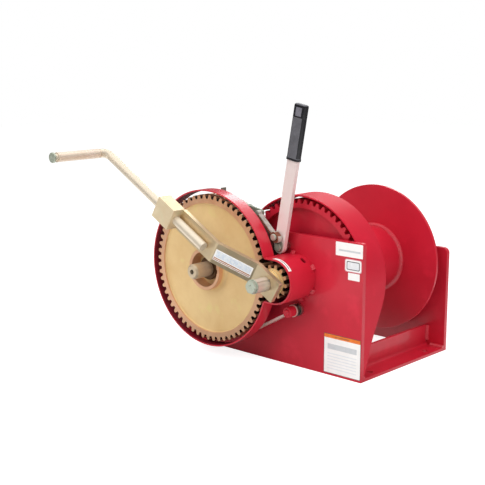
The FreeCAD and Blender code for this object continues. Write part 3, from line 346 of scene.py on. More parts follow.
# Clear zinc on drawn bar: near white with a breath of pink, straw and pale green
CLEAR_ZINC = Finish("clear_zinc_bar", "#F4E1DA", "#EBD9C9", "#DEE2C4", surface=Surface.DRAWN, metallic=0.6,
                    roughness=0.38, roughness_drift=0.06, blotch=0.06, grain=0.0015, relief=0.000006)
# Clear zinc on the lever's flat bar: the pinkest and whitest of the bars
LEVER_ZINC = replace(CLEAR_ZINC, name="clear_zinc_lever", light="#FBEAE6", dark="#F4DEDA", accent="#F4E6DC",
                     metallic=0.35)
# Zinc on the sliding rod: warm white
ROD_ZINC = Finish("warm_zinc_rod", "#F2E5D0", "#ECDDC6", "#F0DFCE", surface=Surface.DRAWN, metallic=0.6,
                  roughness=0.46, roughness_drift=0.04, blotch=0.05, grain=0.004, relief=0.000001)
# Worn zinc on the grip's tube: warm white that drifts to tan, duller than the rod
GRIP_ZINC = Finish("worn_zinc_tube", "#F4E4D2", "#E6D2BC", "#ECD4C6", surface=Surface.DRAWN, metallic=0.4,
                   roughness=0.46, roughness_drift=0.05, blotch=0.03, grain=0.004, relief=0.000001)
# Zinc plated fasteners: greener and greyer than the bars
FASTENER_ZINC = Finish("zinc_fastener", "#D2D8C8", "#AAB29E", "#C2CEBE", surface=Surface.TURNED,
                       metallic=0.55, roughness=0.34, roughness_drift=0.1, blotch=0.012, grain=0.0008,
                       relief=0.00001)
# Turned steel: plain grey with an even sheen
BRIGHT_STEEL = Finish("turned_steel", "#C9C5BE", "#A8A49D", "#BDB6AC", surface=Surface.TURNED, metallic=1.0,
                      roughness=0.3, blotch=0.02, grain=0.0008, relief=0.00001)
# Browned steel of the collar down in the hub, with a dull sheen: its dark brown also paints the shade in the
# hub
BROWNED_STEEL_AND_SHADE = Finish("browned_steel_and_painted_shade", "#6E5136", "#4C3624", "#7A6244", surface=Surface.TURNED,
                       metallic=0.85, roughness=0.42, blotch=0.02, grain=0.0012, relief=0.00002)
# Oiled strip steel: dark grey green with dull patches
DARK_STEEL = Finish("oiled_strip_steel", "#83857A", "#55574E", "#6C6A5C", surface=Surface.DRAWN,
                    metallic=0.85, roughness=0.45, roughness_drift=0.1, blotch=0.02, grain=0.0015,
                    relief=0.00004)
# Rusted steel of the lever's boss and the strap's loop: warm brown and matt
RUSTED_STEEL = Finish("rusted_steel", "#9A5D45", "#6E3D2E", "#B07454", surface=Surface.CAST, metallic=0.3,
                      roughness=0.7, blotch=0.006, grain=0.001, relief=0.0001)
# Turned grey iron: dark with a dull sheen
GREY_IRON = Finish("turned_grey_iron", "#77756F", "#5A5852", "#6B675E", surface=Surface.TURNED, metallic=0.9,
                   roughness=0.42, blotch=0.03, grain=0.0012, relief=0.00002,
                   centre=(LAY_AXIS[0], 0.0, LAY_AXIS[1]))
# Plain bearing bronze
BRONZE = Finish("bearing_bronze", "#C08A4E", "#A5733C", "#CC9C60", surface=Surface.TURNED, metallic=1.0,
                roughness=0.35, blotch=0.02, grain=0.0008, relief=0.00001)
# Woven friction lining: brown grey and dry
LINING = Finish("woven_lining", "#6A5746", "#4A3C30", "#7A6A58", surface=Surface.WOVEN, roughness=0.9,
                blotch=0.01, grain=0.0025, relief=0.0002)
# Dipped vinyl: charcoal with a fine pebble and a soft sheen
GREY_VINYL = Finish("dipped_vinyl", "#646368", "#525156", "#6E6D72", surface=Surface.PEBBLED, roughness=0.55,
                    roughness_drift=0.06, blotch=0.02, grain=0.0016, relief=0.00012)
# The same dip drawn smooth over the end of the bar: darker and glossy. On the grip's sides and round edges
# its dark paints a dark reflection
SMOOTH_VINYL_PAINTED_DARK_REFLECTION = Finish("smooth_dipped_vinyl_painted_dark_reflection", "#1E1D22", "#161519", "#28272C", surface=Surface.SPRAYED,
                      roughness=0.3, blotch=0.02, grain=0.004, relief=0.00002, coat=0.4, coat_roughness=0.12)
# The dip's wiped field: smooth mid grey
PALE_VINYL = Finish("wiped_dipped_vinyl", "#77757E", "#66646C", "#7E7C84", surface=Surface.SPRAYED,
                    roughness=0.3, blotch=0.02, grain=0.004, relief=0.00001, coat=0.4, coat_roughness=0.12)
# Printed vinyl label stock: satin white
LABEL_WHITE = Finish("label_white", "#F6F5F3", "#EFEDEA", "#FAF9F8", surface=Surface.PRINTED, roughness=0.45,
                     blotch=0.02, relief=0.00001)
# Printed vinyl, the tall label's orange head
LABEL_ORANGE = Finish("label_orange", "#EE8A2E", "#E26A20", "#F09A3A", surface=Surface.PRINTED,
                      roughness=0.45, blotch=0.01, relief=0.00001)
# Printed vinyl, the plain grey fields
LABEL_GREY = Finish("label_grey", "#CFD2D4", "#C2C6C9", "#D8DADC", surface=Surface.PRINTED, roughness=0.45,
                    blotch=0.01, relief=0.00001)
# Faint tint inside a printed frame
LABEL_PALE = Finish("label_pale_tint", "#E6E8EA", "#DCDFE2", "#EDEEEF", surface=Surface.PRINTED,
                    roughness=0.45, blotch=0.01, relief=0.00001)
# Dark printed rules and frames, and the dark rim under the lower label that paints the thin shadow along its
# edges
LABEL_INK_AND_SHADOW = Finish("label_ink_and_painted_shadow", "#5A5558", "#4C474A", "#676265", surface=Surface.PRINTED, roughness=0.5,
                   blotch=0.01, relief=0.00001)
# Cool mottled print on the crank's label
LABEL_BLUE = Finish("label_blue_grey", "#DDE4EC", "#C3CEDC", "#E4E6E2", surface=Surface.PRINTED,
                    roughness=0.4, blotch=0.006, contrast=0.12, accent_share=0.5, relief=0.00001)
# Brown stripes of the crank's label and the rule in the orange head
LABEL_BROWN = Finish("label_brown", "#B97B4C", "#9A5A38", "#CC9060", surface=Surface.PRINTED, roughness=0.4,
                     blotch=0.01, relief=0.00001)
# Black brown and wet, in the tooth gaps and the hub's hollow: old gear grease, and painted shade where they
# lie in shadow
GREASE_AND_PAINTED_SHADE = Finish("gear_grease_and_painted_shade", "#3A2415", "#22140C", "#4A3220", surface=Surface.SPRAYED, roughness=0.35,
                     blotch=0.01, grain=0.004, relief=0.0001, coat=0.3)
# Machined chromate on the drive pinion's teeth, with the same painted pink reflection and its tool marks
# round the pinion's own axis
PINION_GOLD_PAINTED_REFLECTION = replace(MACHINED_GOLD_PAINTED_REFLECTION, name="yellow_chromate_pinion_painted_reflection", centre=(DRUM_AXIS[0], 0.0, DRUM_AXIS[1]))
# Zinc on turned shafting: pale straw with fine rings on its ends
SHAFT_ZINC = replace(CLEAR_ZINC, name="clear_zinc_shaft", surface=Surface.TURNED, light="#F2E6D6",
                     dark="#D6C6B2", grain=0.0012, relief=0.000008, centre=(DRUM_AXIS[0], 0.0, DRUM_AXIS[1]))
# The same shafting down in the gear's hub, under a film of gear oil: straw brown, which also paints the shade
# in the hub
OILED_AND_SHADED_SHAFT = replace(SHAFT_ZINC, name="oiled_zinc_shaft_and_painted_shade", light="#E8D9BE", dark="#C8AE8C", accent="#D8C4A4",
                      centre=(LAY_AXIS[0], 0.0, LAY_AXIS[1]))
# Grey green zinc on the lever's cover and the band's tab and hinge
LEVER_STEEL = replace(DARK_STEEL, name="dull_zinc_plate", light="#9CA192", dark="#7C8174", accent="#8E9482",
                      metallic=0.35, roughness=0.55)
# Dull zinc on the band's strip: light grey with a warm cast
BAND_ZINC = replace(CLEAR_ZINC, name="dull_zinc_strip", light="#D2CBC2", dark="#A49E94", accent="#B6B6A6",
                    blotch=0.012, contrast=0.18, metallic=0.3, roughness=0.5)
# Tinted edge that a die-cut label leaves on the paint
LABEL_ROSE = replace(LABEL_WHITE, name="label_edge_tint", light="#D9A9B0", dark="#CF9AA2", accent="#DDB4BA")

SLOT_FINISH = {
    "red_paint": RED_ENAMEL, "cast_gold": CAST_GOLD, "crank_gold": CRANK_GOLD, "zinc": CLEAR_ZINC,
    "bright_steel": BRIGHT_STEEL, "dark_steel": DARK_STEEL, "grey_iron": GREY_IRON, "bronze": BRONZE,
    "lining": LINING, "black_vinyl": GREY_VINYL,
}


def new_piece(bm: bmesh.types.BMesh, name: str, finishes: Sequence[Finish], body: str,
              crisp_turn: float = CRISP_TURN) -> bpy.types.Object:
    """Turn a finished bmesh into a piece that rides on a body.

    Args:
        bm: The shape, in place. It is freed.
        name: The piece's name.
        finishes: Finish of each material index.
        body: The CAD body that it moves with.
        crisp_turn: Edges that turn by more than this stay crisp in the shading.

    Returns:
        The new object.
    """
    mesh = bpy.data.meshes.new(name)
    for face in bm.faces:
        face.smooth = True
    bm.to_mesh(mesh)
    bm.free()
    mesh.set_sharp_from_angle(angle=crisp_turn)
    piece = bpy.data.objects.new(name, mesh)
    bpy.context.scene.collection.objects.link(piece)
    for finish in finishes:
        mesh.materials.append(finish.material())
    even = piece.modifiers.new("even_normals", "WEIGHTED_NORMAL")
    even.keep_sharp = True
    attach(piece, body)
    LOG.info("%s: %d faces on %s", name, len(mesh.polygons), body)
    return piece


def copied(node: str) -> bmesh.types.BMesh:
    """Copy a CAD node's mesh, merged, with its flat faces joined up.

    Args:
        node: The CAD node.

    Returns:
        The copy.
    """
    bm = bmesh.new()
    bm.from_mesh(frame["nodes"][node].data)
    bmesh.ops.remove_doubles(bm, verts=bm.verts, dist=MERGE_GAP)
    bmesh.ops.dissolve_limit(bm, angle_limit=FLAT_TURN, verts=bm.verts, edges=bm.edges,
                             use_dissolve_boundaries=False)
    return bm


def round_edges(bm: bmesh.types.BMesh, radius: float, segments: int = 2) -> None:
    """Round the sharp edges of a shape.

    Args:
        bm: The shape.
        radius: Size of the rounding.
        segments: Steps across it.
    """
    edges = [edge for edge in bm.edges if len(edge.link_faces) == 2 and edge.calc_face_angle() > SHARP_TURN]
    bmesh.ops.bevel(bm, geom=edges, offset=radius, offset_type="OFFSET", affect="EDGES",
                    segments=segments, profile=0.5, material=-1, clamp_overlap=True)


def refined(node: str, finish: Finish | None = None, radius: float = SMALL_EDGE, segments: int = 2,
            others: Sequence[Finish] = (),
            painted: Callable[[bmesh.types.BMFace], int] | None = None) -> bpy.types.Object:
    """Stand-in for a CAD node with rounded edges and an even shading.

    Args:
        node: The CAD node.
        finish: Its finish, or that of the node's slot.
        radius: Size of the rounding, or 0 for none.
        segments: Steps across it.
        others: More finishes for some of its faces.
        painted: Says which finish a face has, 0 for the first.

    Returns:
        The new object.
    """
    bm = copied(node)
    if radius > 0:
        round_edges(bm, radius, segments)
    slot = SLOT_OF[node]
    finishes = [finish or SLOT_FINISH[slot], *others]
    if painted:
        for face in bm.faces:
            face.material_index = int(painted(face))
    piece = new_piece(bm, node + "_finished", finishes, BODY_OF[node])
    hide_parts(node)
    return piece


def dress(nodes: Iterable[str], finish: Finish | None = None) -> None:
    """Give CAD nodes that stay as they are a finish.

    Args:
        nodes: Names of the nodes.
        finish: Their finish, or that of each node's slot.
    """
    for node in nodes:
        look = (finish or SLOT_FINISH[SLOT_OF[node]]).material()
        for slot in frame["nodes"][node].material_slots:
            slot.material = look
        LOG.info("%s: dressed", node)


def from_axis(spot: Vector, axis: tuple[float, float]) -> float:
    """Distance of a spot from an axis along Y."""
    return math.hypot(spot.x - axis[0], spot.z - axis[1])


def reach_of(face: bmesh.types.BMFace, axis: tuple[float, float]) -> tuple[float, float]:
    """Least and greatest distance of a face's corners from an axis along Y."""
    reaches = [from_axis(vert.co, axis) for vert in face.verts]
    return min(reaches), max(reaches)


@dataclass
class WeldBead:
    """Row of overlapping weld ripples along a straight or round corner.

    Attributes:
        leg: Reach of the bead on each face.
        pitch: Distance from one ripple to the next.
        steps: Rings of the mesh in one ripple.
        swell: How much a ripple stands out, as a share of the leg.
        facets: Steps across the bead's face.
        hollow: Power of the face's curve, over 1 for a hollow bead and 1 for a round one.
        crest: Share of the swell at a ripple's start. It falls with the square of the way to the next.
    """

    leg: float
    pitch: float = 3.2 * MM
    steps: int = 4
    swell: float = 0.24
    facets: int = 5
    hollow: float = 1.3
    crest: float = 0.5

    def sweep(self, bm: bmesh.types.BMesh, corner: Vector, first: Vector, second: Vector, length: float,
              axis: tuple[float, float] | None = None, turn: float = 0.0,
              travel: Vector = Vector((0.0, 0.0, 0.0))) -> None:
        """Add one bead to a shape.

        Args:
            bm: The shape that gets the bead.
            corner: Where the two faces meet, at the start of the bead.
            first: Unit direction along the first face.
            second: Unit direction along the second face.
            length: Length of the bead.
            axis: Axis along Y that a round bead goes round.
            turn: Angle that a round bead covers.
            travel: Unit direction of a straight bead.
        """
        rings = max(2, round(length / self.pitch)) * self.steps
        spots = [corner]
        for step in range(self.facets + 1):
            angle = math.pi / 2 * step / self.facets
            along, across = math.cos(angle) ** self.hollow, math.sin(angle) ** self.hollow
            spots.append(corner + self.leg * (first * along + second * across))
        loop = [bm.verts.new(spot) for spot in spots]
        edges = [bm.edges.new((loop[at - 1], loop[at])) for at in range(len(loop))]
        full = math.isclose(abs(turn), math.tau)
        before = set(bm.verts) - set(loop)
        centre = Vector((axis[0], corner.y, axis[1])) if axis else corner
        bmesh.ops.spin(bm, geom=loop + edges, cent=centre, axis=(0.0, -1.0, 0.0),
                       dvec=travel * (length / rings), angle=turn, steps=rings, use_merge=full,
                       use_duplicate=False)
        made = [vert for vert in bm.verts if vert not in before]
        for at, vert in enumerate(made):
            ring = at // len(spots)
            if at % len(spots) == 0:
                continue
            share = (ring % self.steps) / self.steps
            turned = Matrix.Rotation(-turn * ring / rings, 3, "Y")
            root = centre + turned @ (corner - centre) + travel * (length * ring / rings)
            vert.co = root + (vert.co - root) * (1.0 + self.swell * (self.crest - share * share))
        if not full:
            rims = [edge for edge in bm.edges if edge.is_boundary]
            bmesh.ops.holes_fill(bm, edges=rims, sides=0)


@dataclass(frozen=True)
class Print:
    """One layer of a label, in millimetres on the label's plane.

    Attributes:
        ends: Its left and right end.
        heights: Its lower and upper edge.
        corner: Radius of its corners.
        finish: Its stock or ink.
        depth: How many layers it lies on.
    """

    ends: tuple[float, float]
    heights: tuple[float, float]
    corner: float
    finish: Finish
    depth: int = 0

    def add(self, bm: bmesh.types.BMesh, index: int) -> None:
        """Add the layer to a shape as a thin rounded sheet in the XY plane.

        Args:
            bm: The shape.
            index: The sheet's material index.
        """
        left, right = (end * MM for end in self.ends)
        low, high = (height * MM for height in self.heights)
        middle = Vector(((left + right) / 2, (low + high) / 2, self.depth * SHEET_RISE))
        shape = Matrix.Translation(middle) @ Matrix.Diagonal((right - left, high - low, 1.0, 1.0))
        verts = bmesh.ops.create_grid(bm, x_segments=1, y_segments=1, size=0.5, matrix=shape)["verts"]
        rounded = bmesh.ops.bevel(bm, geom=verts, offset=self.corner * MM, offset_type="OFFSET",
                                  affect="VERTICES", segments=SHEET_CORNER_STEPS, profile=0.5,
                                  material=-1, clamp_overlap=True)
        base = {face for vert in rounded["verts"] for face in vert.link_faces}
        grown = bmesh.ops.extrude_face_region(bm, geom=list(base), use_keep_orig=True)["geom"]
        raised = [part for part in grown if isinstance(part, bmesh.types.BMVert)]
        bmesh.ops.translate(bm, verts=raised, vec=(0.0, 0.0, SHEET_DEPTH))
        for face in base | {face for vert in raised for face in vert.link_faces}:
            face.material_index = index


def label_piece(prints: Sequence[Print], name: str, finishes: Sequence[Finish], body: str,
                origin: Vector, right: Vector, up: Vector) -> bpy.types.Object:
    """Print a label on a flat face.

    Args:
        prints: The label's layers.
        name: The piece's name.
        finishes: Finish of each material index.
        body: The CAD body that it moves with.
        origin: Where the label's plane has its origin.
        right: Where its X goes.
        up: Where its Y goes.

    Returns:
        The new object.
    """
    bm = bmesh.new()
    for layer in prints:
        layer.add(bm, finishes.index(layer.finish))
    turn = Matrix((right, up, right.cross(up))).transposed().to_4x4()
    bmesh.ops.transform(bm, matrix=Matrix.Translation(origin) @ turn, verts=bm.verts)
    return new_piece(bm, name, finishes, body)


@dataclass
class Frame:
    """Side plates, base angles and their welds.

    Attributes:
        edge: Rounding of the plates, the angles and the bearing housing.
        angle_leg: Leg of a base angle.
        angle_wall: Its wall.
        angle_root: Radius in its corner.
        angle_weld: Leg of its welds.
        guard_weld: Leg of the guards' welds.
        hood_top_weld: Start along X and length of the weld on the hood's flat top.
        hood_welds: Where the hood's short welds start, in degrees round it.
        hood_weld_turn: Degrees that each covers.
        guard_inner: X of the drum gear guard's inner side.
        guard_weld_heights: Where its welds start.
        guard_weld_length: Length of each.
    """

    edge: float = 0.8 * MM
    angle_leg: float = 50.8 * MM
    angle_wall: float = 6.35 * MM
    angle_root: float = 6.0 * MM
    angle_weld: float = 5.6 * MM
    guard_weld: float = 5.6 * MM
    hood_top_weld: tuple[float, float] = (37.0 * MM, 11.0 * MM)
    hood_welds: tuple[float, ...] = (-80.0, -37.0, 25.0)
    hood_weld_turn: float = 12.0
    guard_inner: float = 211.8 * MM
    guard_weld_heights: tuple[float, ...] = (60.0 * MM, 110.0 * MM, 160.0 * MM)
    guard_weld_length: float = 20.0 * MM

    def build(self) -> None:
        """Build the painted frame."""
        for node in ("near_side_plate", "far_side_plate", "right_base_angle", "left_base_angle",
                     "bearing_housing"):
            refined(node, radius=self.edge)
        self.welds()
        dress(["near_bushings", "far_bushings"])
        dress(["grease_fitting"], CLEAR_ZINC)

    def welds(self) -> None:
        """Build the rippled beads of the angles and the guards."""
        bm = bmesh.new()
        self.angle_beads(bm)
        self.guard_beads(bm)
        bmesh.ops.recalc_face_normals(bm, faces=bm.faces)
        piece = new_piece(bm, "frame_weld_beads", [WET_ENAMEL], "base",
                          crisp_turn=WELD_CRISP_TURN)
        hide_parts("frame_welds")

    def angle_beads(self, bm: bmesh.types.BMesh) -> None:
        """Add the beads that join the angles to the plates.

        Args:
            bm: The shape that gets the beads.
        """
        bead = WeldBead(self.angle_weld)
        corner = PLATE_RIGHT - self.angle_leg + self.angle_wall
        clear = self.angle_root + self.angle_weld
        length = self.angle_leg - self.angle_wall - clear
        upward = Vector((0.0, 0.0, 1.0))
        for side in (-1.0, 1.0):
            for station, inward in ((PLATE, 1.0), (OVERALL_WIDTH - PLATE, -1.0)):
                outward, across = Vector((side, 0.0, 0.0)), Vector((0.0, inward, 0.0))
                upright = Vector((side * corner, station_y(station), self.angle_wall + clear))
                bead.sweep(bm, upright, outward, across, length, travel=upward)
                flat = Vector((side * (corner + clear), station_y(station), self.angle_wall))
                bead.sweep(bm, flat, upward, across, length, travel=outward)

    def guard_beads(self, bm: bmesh.types.BMesh) -> None:
        """Add the stitches of the pinion hood and of the drum gear's guard.

        Args:
            bm: The shape that gets the beads.
        """
        bead = WeldBead(self.guard_weld)
        forward, backward = Vector((0.0, -1.0, 0.0)), Vector((0.0, 1.0, 0.0))
        upward, rightward = Vector((0.0, 0.0, 1.0)), Vector((1.0, 0.0, 0.0))
        start, length = self.hood_top_weld
        top = Vector((start, station_y(0.0), SHAFT_HEIGHT + HOOD_RADIUS))
        bead.sweep(bm, top, upward, forward, length, travel=rightward)
        turn = math.radians(self.hood_weld_turn)
        for degrees in self.hood_welds:
            angle = math.radians(degrees)
            away = Vector((math.cos(angle), 0.0, math.sin(angle)))
            corner = Vector((HOOD_AXIS[0], station_y(0.0), HOOD_AXIS[1])) + away * HOOD_RADIUS
            bead.sweep(bm, corner, away, forward, HOOD_RADIUS * turn, axis=HOOD_AXIS, turn=turn)
        for height in self.guard_weld_heights:
            corner = Vector((self.guard_inner, station_y(PLATE), height))
            bead.sweep(bm, corner, -rightward, backward, self.guard_weld_length, travel=upward)


@dataclass
class Guards:
    """Sheet guards round the gears.

    Attributes:
        edge: Rounding of the sheet.
        straight: Least cosine at which a face counts as looking at its guard's axis.
    """

    edge: float = 0.7 * MM
    straight: float = 0.9

    def build(self) -> None:
        """Build the bands and the hood."""
        # The guards' inner sides are painted dark maroon: painted shade, over a film of gear oil
        refined("gear_guard", WET_ENAMEL, self.edge, others=[OILED_AND_SHADED_ENAMEL], painted=self.faces_gear)
        refined("pinion_guard", radius=self.edge, others=[OILED_AND_SHADED_ENAMEL], painted=self.faces_pinion)
        refined("drum_gear_guard", DRY_ENAMEL, self.edge)
        refined("gear_guard_struts", radius=self.edge)

    def faces_gear(self, face: bmesh.types.BMFace) -> bool:
        """Say whether a face of the gear's guard is on its inner side."""
        return self.faces_axis(face, LAY_AXIS)

    def faces_pinion(self, face: bmesh.types.BMFace) -> bool:
        """Say whether a face of the hood is on its inner side.

        Args:
            face: The face.

        Returns:
            True on the round inner side and between the two flats that lead to it.
        """
        spot = face.calc_center_median()
        flat = spot.x < HOOD_X and (spot.z - SHAFT_HEIGHT) * face.normal.z < 0
        return self.faces_axis(face, HOOD_AXIS) or (flat and abs(face.normal.z) > self.straight)

    def faces_axis(self, face: bmesh.types.BMFace, axis: tuple[float, float]) -> bool:
        """Say whether a face looks at an axis along Y.

        Args:
            face: The face.
            axis: X and Z of the axis.

        Returns:
            True if it does.
        """
        spot = face.calc_center_median()
        inward = Vector((axis[0] - spot.x, 0.0, axis[1] - spot.z)).normalized()
        return face.normal.dot(inward) > self.straight


@dataclass
class GearTrain:
    """Intermediate shaft with its gears, and the drive shaft's pinion.

    Attributes:
        tooth_edge: Rounding of the teeth.
        machined_rim: Radius from which the front gear is machined.
        machined_hub: Radius up to which its hub is machined.
        hub_front_y: Y of the hub's front.
        cavity: Radius of the hollow in the hub, painted black brown: grease and painted shade.
        gear_gap: Radii between which the gear's tooth gaps are painted black brown: grease and painted shade.
        pinion_gap: The same for the pinion.
        pinion_front_y: Y of the front of the pinion's teeth, behind its plain hub.
        flank: Greatest part of a normal along the axis at which a face counts as a tooth's side.
        centre_hole: Radius of the lathe centre in the intermediate shaft.
        centre_tip: Radius of its tip, as a share of its mouth.
        centre_depth: Its depth.
    """

    tooth_edge: float = 0.5 * MM
    machined_rim: float = 137.5 * MM
    machined_hub: float = 45.2 * MM
    hub_front_y: float = station_y(-81.0 * MM)
    cavity: float = 37.0 * MM
    gear_gap: tuple[float, float] = (146.5 * MM, 151.5 * MM)
    pinion_gap: tuple[float, float] = (24.8 * MM, 30.0 * MM)
    pinion_front_y: float = station_y(-72.0 * MM)
    flank: float = 0.5
    centre_hole: float = 2.6 * MM
    centre_tip: float = 0.3
    centre_depth: float = 3.0 * MM

    def build(self) -> None:
        """Build the gears and the shafts."""
        # The machined faces take the pinker chromate, whose pink is a painted reflection
        refined("front_gear", radius=self.tooth_edge, others=[MACHINED_GOLD_PAINTED_REFLECTION, GREASE_AND_PAINTED_SHADE],
                painted=self.gear_finish)
        refined("drive_pinion", radius=self.tooth_edge, others=[PINION_GOLD_PAINTED_REFLECTION, GREASE_AND_PAINTED_SHADE],
                painted=self.pinion_finish)
        refined("rear_pinion", MACHINED_GOLD_PAINTED_REFLECTION, AS_CUT)
        # The collar's dark brown is partly painted shade down in the hub
        refined("hub_collar", BROWNED_STEEL_AND_SHADE)
        self.centred_shaft()
        refined("drive_shaft", SHAFT_ZINC)
        refined("brake_drum", radius=THICK_EDGE)
        refined("intermediate_end_collar", FASTENER_ZINC)
        refined("drive_end_collar", FASTENER_ZINC)
        dress(["front_gear_key", "crank_key"])

    def gear_finish(self, face: bmesh.types.BMFace) -> int:
        """Choose the finish of a face of the front gear.

        Args:
            face: The face.

        Returns:
            0 for cast, 1 for machined with a painted pink reflection, and 2 for grease with painted shade.
        """
        near, far = reach_of(face, LAY_AXIS)
        front = min(vert.co.y for vert in face.verts) < self.hub_front_y
        # Tooth gaps and the hub's hollow are painted black brown: grease, and painted shade
        if self.is_gap(face, (near + far) / 2, self.gear_gap):
            return 2
        if far < self.cavity and not front:
            return 2
        return int(near > self.machined_rim or (far < self.machined_hub and front))

    def pinion_finish(self, face: bmesh.types.BMFace) -> int:
        """Choose the finish of a face of the drive pinion.

        Args:
            face: The face.

        Returns:
            0 on the plain hub, 1 on the teeth with a painted pink reflection, and 2 where grease and painted
            shade darken them.
        """
        near, far = reach_of(face, DRUM_AXIS)
        behind = min(vert.co.y for vert in face.verts) > self.pinion_front_y
        if behind and self.is_gap(face, (near + far) / 2, self.pinion_gap):
            return 2
        return int(behind)

    def is_gap(self, face: bmesh.types.BMFace, reach: float, gap: tuple[float, float]) -> bool:
        """Say whether a face lies low between two teeth, where grease and painted shade go."""
        return abs(face.normal.y) < self.flank and gap[0] < reach < gap[1]

    def centred_shaft(self) -> None:
        """Build the intermediate shaft with the lathe centre in its front end."""
        bm = copied("intermediate_shaft")
        round_edges(bm, SMALL_EDGE)
        front = min(vert.co.y for vert in bm.verts)
        ends = [face for face in bm.faces
                if all(abs(vert.co.y - front) < ON_PLANE for vert in face.verts)]
        middle = Vector((LAY_AXIS[0], front, LAY_AXIS[1]))
        tip = self.centre_hole * self.centre_tip
        for reach, depth in ((self.centre_hole, 0.0), (tip, self.centre_depth)):
            grown = bmesh.ops.extrude_face_region(bm, geom=ends)["geom"]
            bmesh.ops.delete(bm, geom=ends, context="FACES")
            ends = [part for part in grown if isinstance(part, bmesh.types.BMFace)]
            for vert in {vert for face in ends for vert in face.verts}:
                away = (vert.co - middle) * Vector((1.0, 0.0, 1.0))
                vert.co = middle + away.normalized() * reach + Vector((0.0, depth, 0.0))
        # Straw brown: a film of gear oil, and painted shade down in the hub
        piece = new_piece(bm, "intermediate_shaft_finished", [OILED_AND_SHADED_SHAFT], "intermediate")
        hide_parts("intermediate_shaft")


@dataclass
class Drum:
    """Drum, its flanges, its gear and its welds.

    Attributes:
        edge: Rounding of the plates and the gear.
        barrel: Outer radius of the barrel.
        hub: Outer radius of the far hub.
        weld: Leg of the welds.
        far_flange_front: Station of the far flange's near face.
        far_flange_back: Station of its far face.
        near_flange_back: Station of the near flange's far face.
        gear_web_back: Station of the far face of the gear's web.
    """

    edge: float = 0.8 * MM
    barrel: float = 70.65 * MM
    hub: float = 36.0 * MM
    weld: float = 6.2 * MM
    far_flange_front: float = 268.0 * MM
    far_flange_back: float = 274.4 * MM
    near_flange_back: float = 72.4 * MM
    gear_web_back: float = 34.0 * MM

    def build(self) -> None:
        """Build the drum."""
        for node in ("far_flange", "near_flange", "drum_barrel", "far_hub", "drum_gear"):
            refined(node, radius=self.edge)
        refined("rope_clamp", FASTENER_ZINC, THICK_EDGE)
        refined("rope_clamp_bolts", FASTENER_ZINC)
        self.welds()
        dress(["drum_bushings"])

    def welds(self) -> None:
        """Build the rippled beads round the barrel and the far hub."""
        bm = bmesh.new()
        bead = WeldBead(self.weld)
        rounds = ((self.barrel, self.far_flange_front, -1.0), (self.barrel, self.near_flange_back, 1.0),
                  (self.barrel, self.gear_web_back, 1.0), (self.hub, self.far_flange_back, 1.0))
        for radius, station, way in rounds:
            corner = Vector((DRUM_AXIS[0] + radius, station_y(station), DRUM_AXIS[1]))
            bead.sweep(bm, corner, Vector((1.0, 0.0, 0.0)), Vector((0.0, way, 0.0)), math.tau * radius,
                       axis=DRUM_AXIS, turn=math.tau)
        bmesh.ops.recalc_face_normals(bm, faces=bm.faces)
        piece = new_piece(bm, "drum_weld_beads", [WET_ENAMEL], "drum",
                          crisp_turn=WELD_CRISP_TURN)
        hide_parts("drum_welds")


@dataclass
class Crank:
    """Crank arm with its block, rod, grip and label.

    Attributes:
        arm_edge: Rounding of the arm.
        arm_steps: Steps across it.
        slope_start: Reach and station of the front face where the bar's slope starts.
        slope_end: The same where it ends.
        label: The label on the slope. Its plane starts where the slope does, and X points back along it.
    """

    arm_edge: float = 0.8 * MM
    arm_steps: int = 3
    slope_start: tuple[float, float] = (33.5 * MM, -97.5 * MM)
    slope_end: tuple[float, float] = (112.5 * MM, -142.0 * MM)
    label: tuple[Print, ...] = (
        Print((-87.5, -4.5), (-14.5, 10.5), 1.5, LABEL_WHITE),
        Print((-84.5, -7.5), (-6.0, 8.5), 0.8, LABEL_BLUE, 1),
        Print((-86.5, -5.5), (-13.2, -11.4), 0.3, LABEL_BROWN, 1),
        Print((-86.5, -5.5), (-10.0, -7.6), 0.3, LABEL_BROWN, 1))

    def build(self) -> None:
        """Build the crank."""
        refined("crank_arm", radius=self.arm_edge, segments=self.arm_steps)
        refined("clamp_block", BLOCK_GOLD, AS_CUT)
        refined("clamp_set_screws", radius=AS_CUT)
        refined("crank_washer", FASTENER_ZINC, FINE_EDGE)
        refined("crank_bolt", FASTENER_ZINC)
        refined("crank_rod", ROD_ZINC, AS_CUT)
        refined("grip_sleeve", GRIP_ZINC, AS_CUT)
        refined("grip_collar", GRIP_ZINC, FINE_EDGE)
        refined("grip_end_cap", FASTENER_ZINC, AS_CUT)
        start = self.spot(*self.slope_start)
        inward = (start - self.spot(*self.slope_end)).normalized()
        up = Vector((math.sin(CRANK_RISE), 0.0, math.cos(CRANK_RISE)))
        label_piece(self.label, "crank_label", [LABEL_WHITE, LABEL_BLUE, LABEL_BROWN], "crank",
                    start, inward, up)

    def spot(self, reach: float, station: float) -> Vector:
        """Place on the crank's centre line."""
        return Vector((DRUM_AXIS[0] - reach * math.cos(CRANK_RISE), station_y(station),
                       DRUM_AXIS[1] + reach * math.sin(CRANK_RISE)))


@dataclass
class BandBrake:
    """Band, lining, anchor and strap.

    Attributes:
        lever_pin: X and Z of the lever's pin.
        loop: Reach of the strap's loop round it.
    """

    lever_pin: tuple[float, float] = (20.5 * MM, 272.0 * MM)
    loop: float = 10.0 * MM

    def is_loop(self, face: bmesh.types.BMFace) -> bool:
        """Say whether a face of the strap is on its loop round the lever's pin."""
        return from_axis(face.calc_center_median(), self.lever_pin) < self.loop

    def build(self) -> None:
        """Build the brake."""
        refined("brake_band", BAND_ZINC, FINE_EDGE)
        refined("brake_lining", radius=AS_CUT)
        refined("band_tab", LEVER_STEEL)
        refined("band_tail")
        refined("band_hinge", LEVER_STEEL)
        refined("anchor_eye")
        refined("anchor_washer", CLEAR_ZINC, FINE_EDGE)
        refined("anchor_nut", DARK_STEEL, NUT_EDGE)
        refined("anchor_stud", RED_ENAMEL)
        refined("brake_strap", BAND_ZINC, THICK_EDGE, others=[RUSTED_STEEL], painted=self.is_loop)
        refined("plate_spacers")
        dress(["band_rivets"])


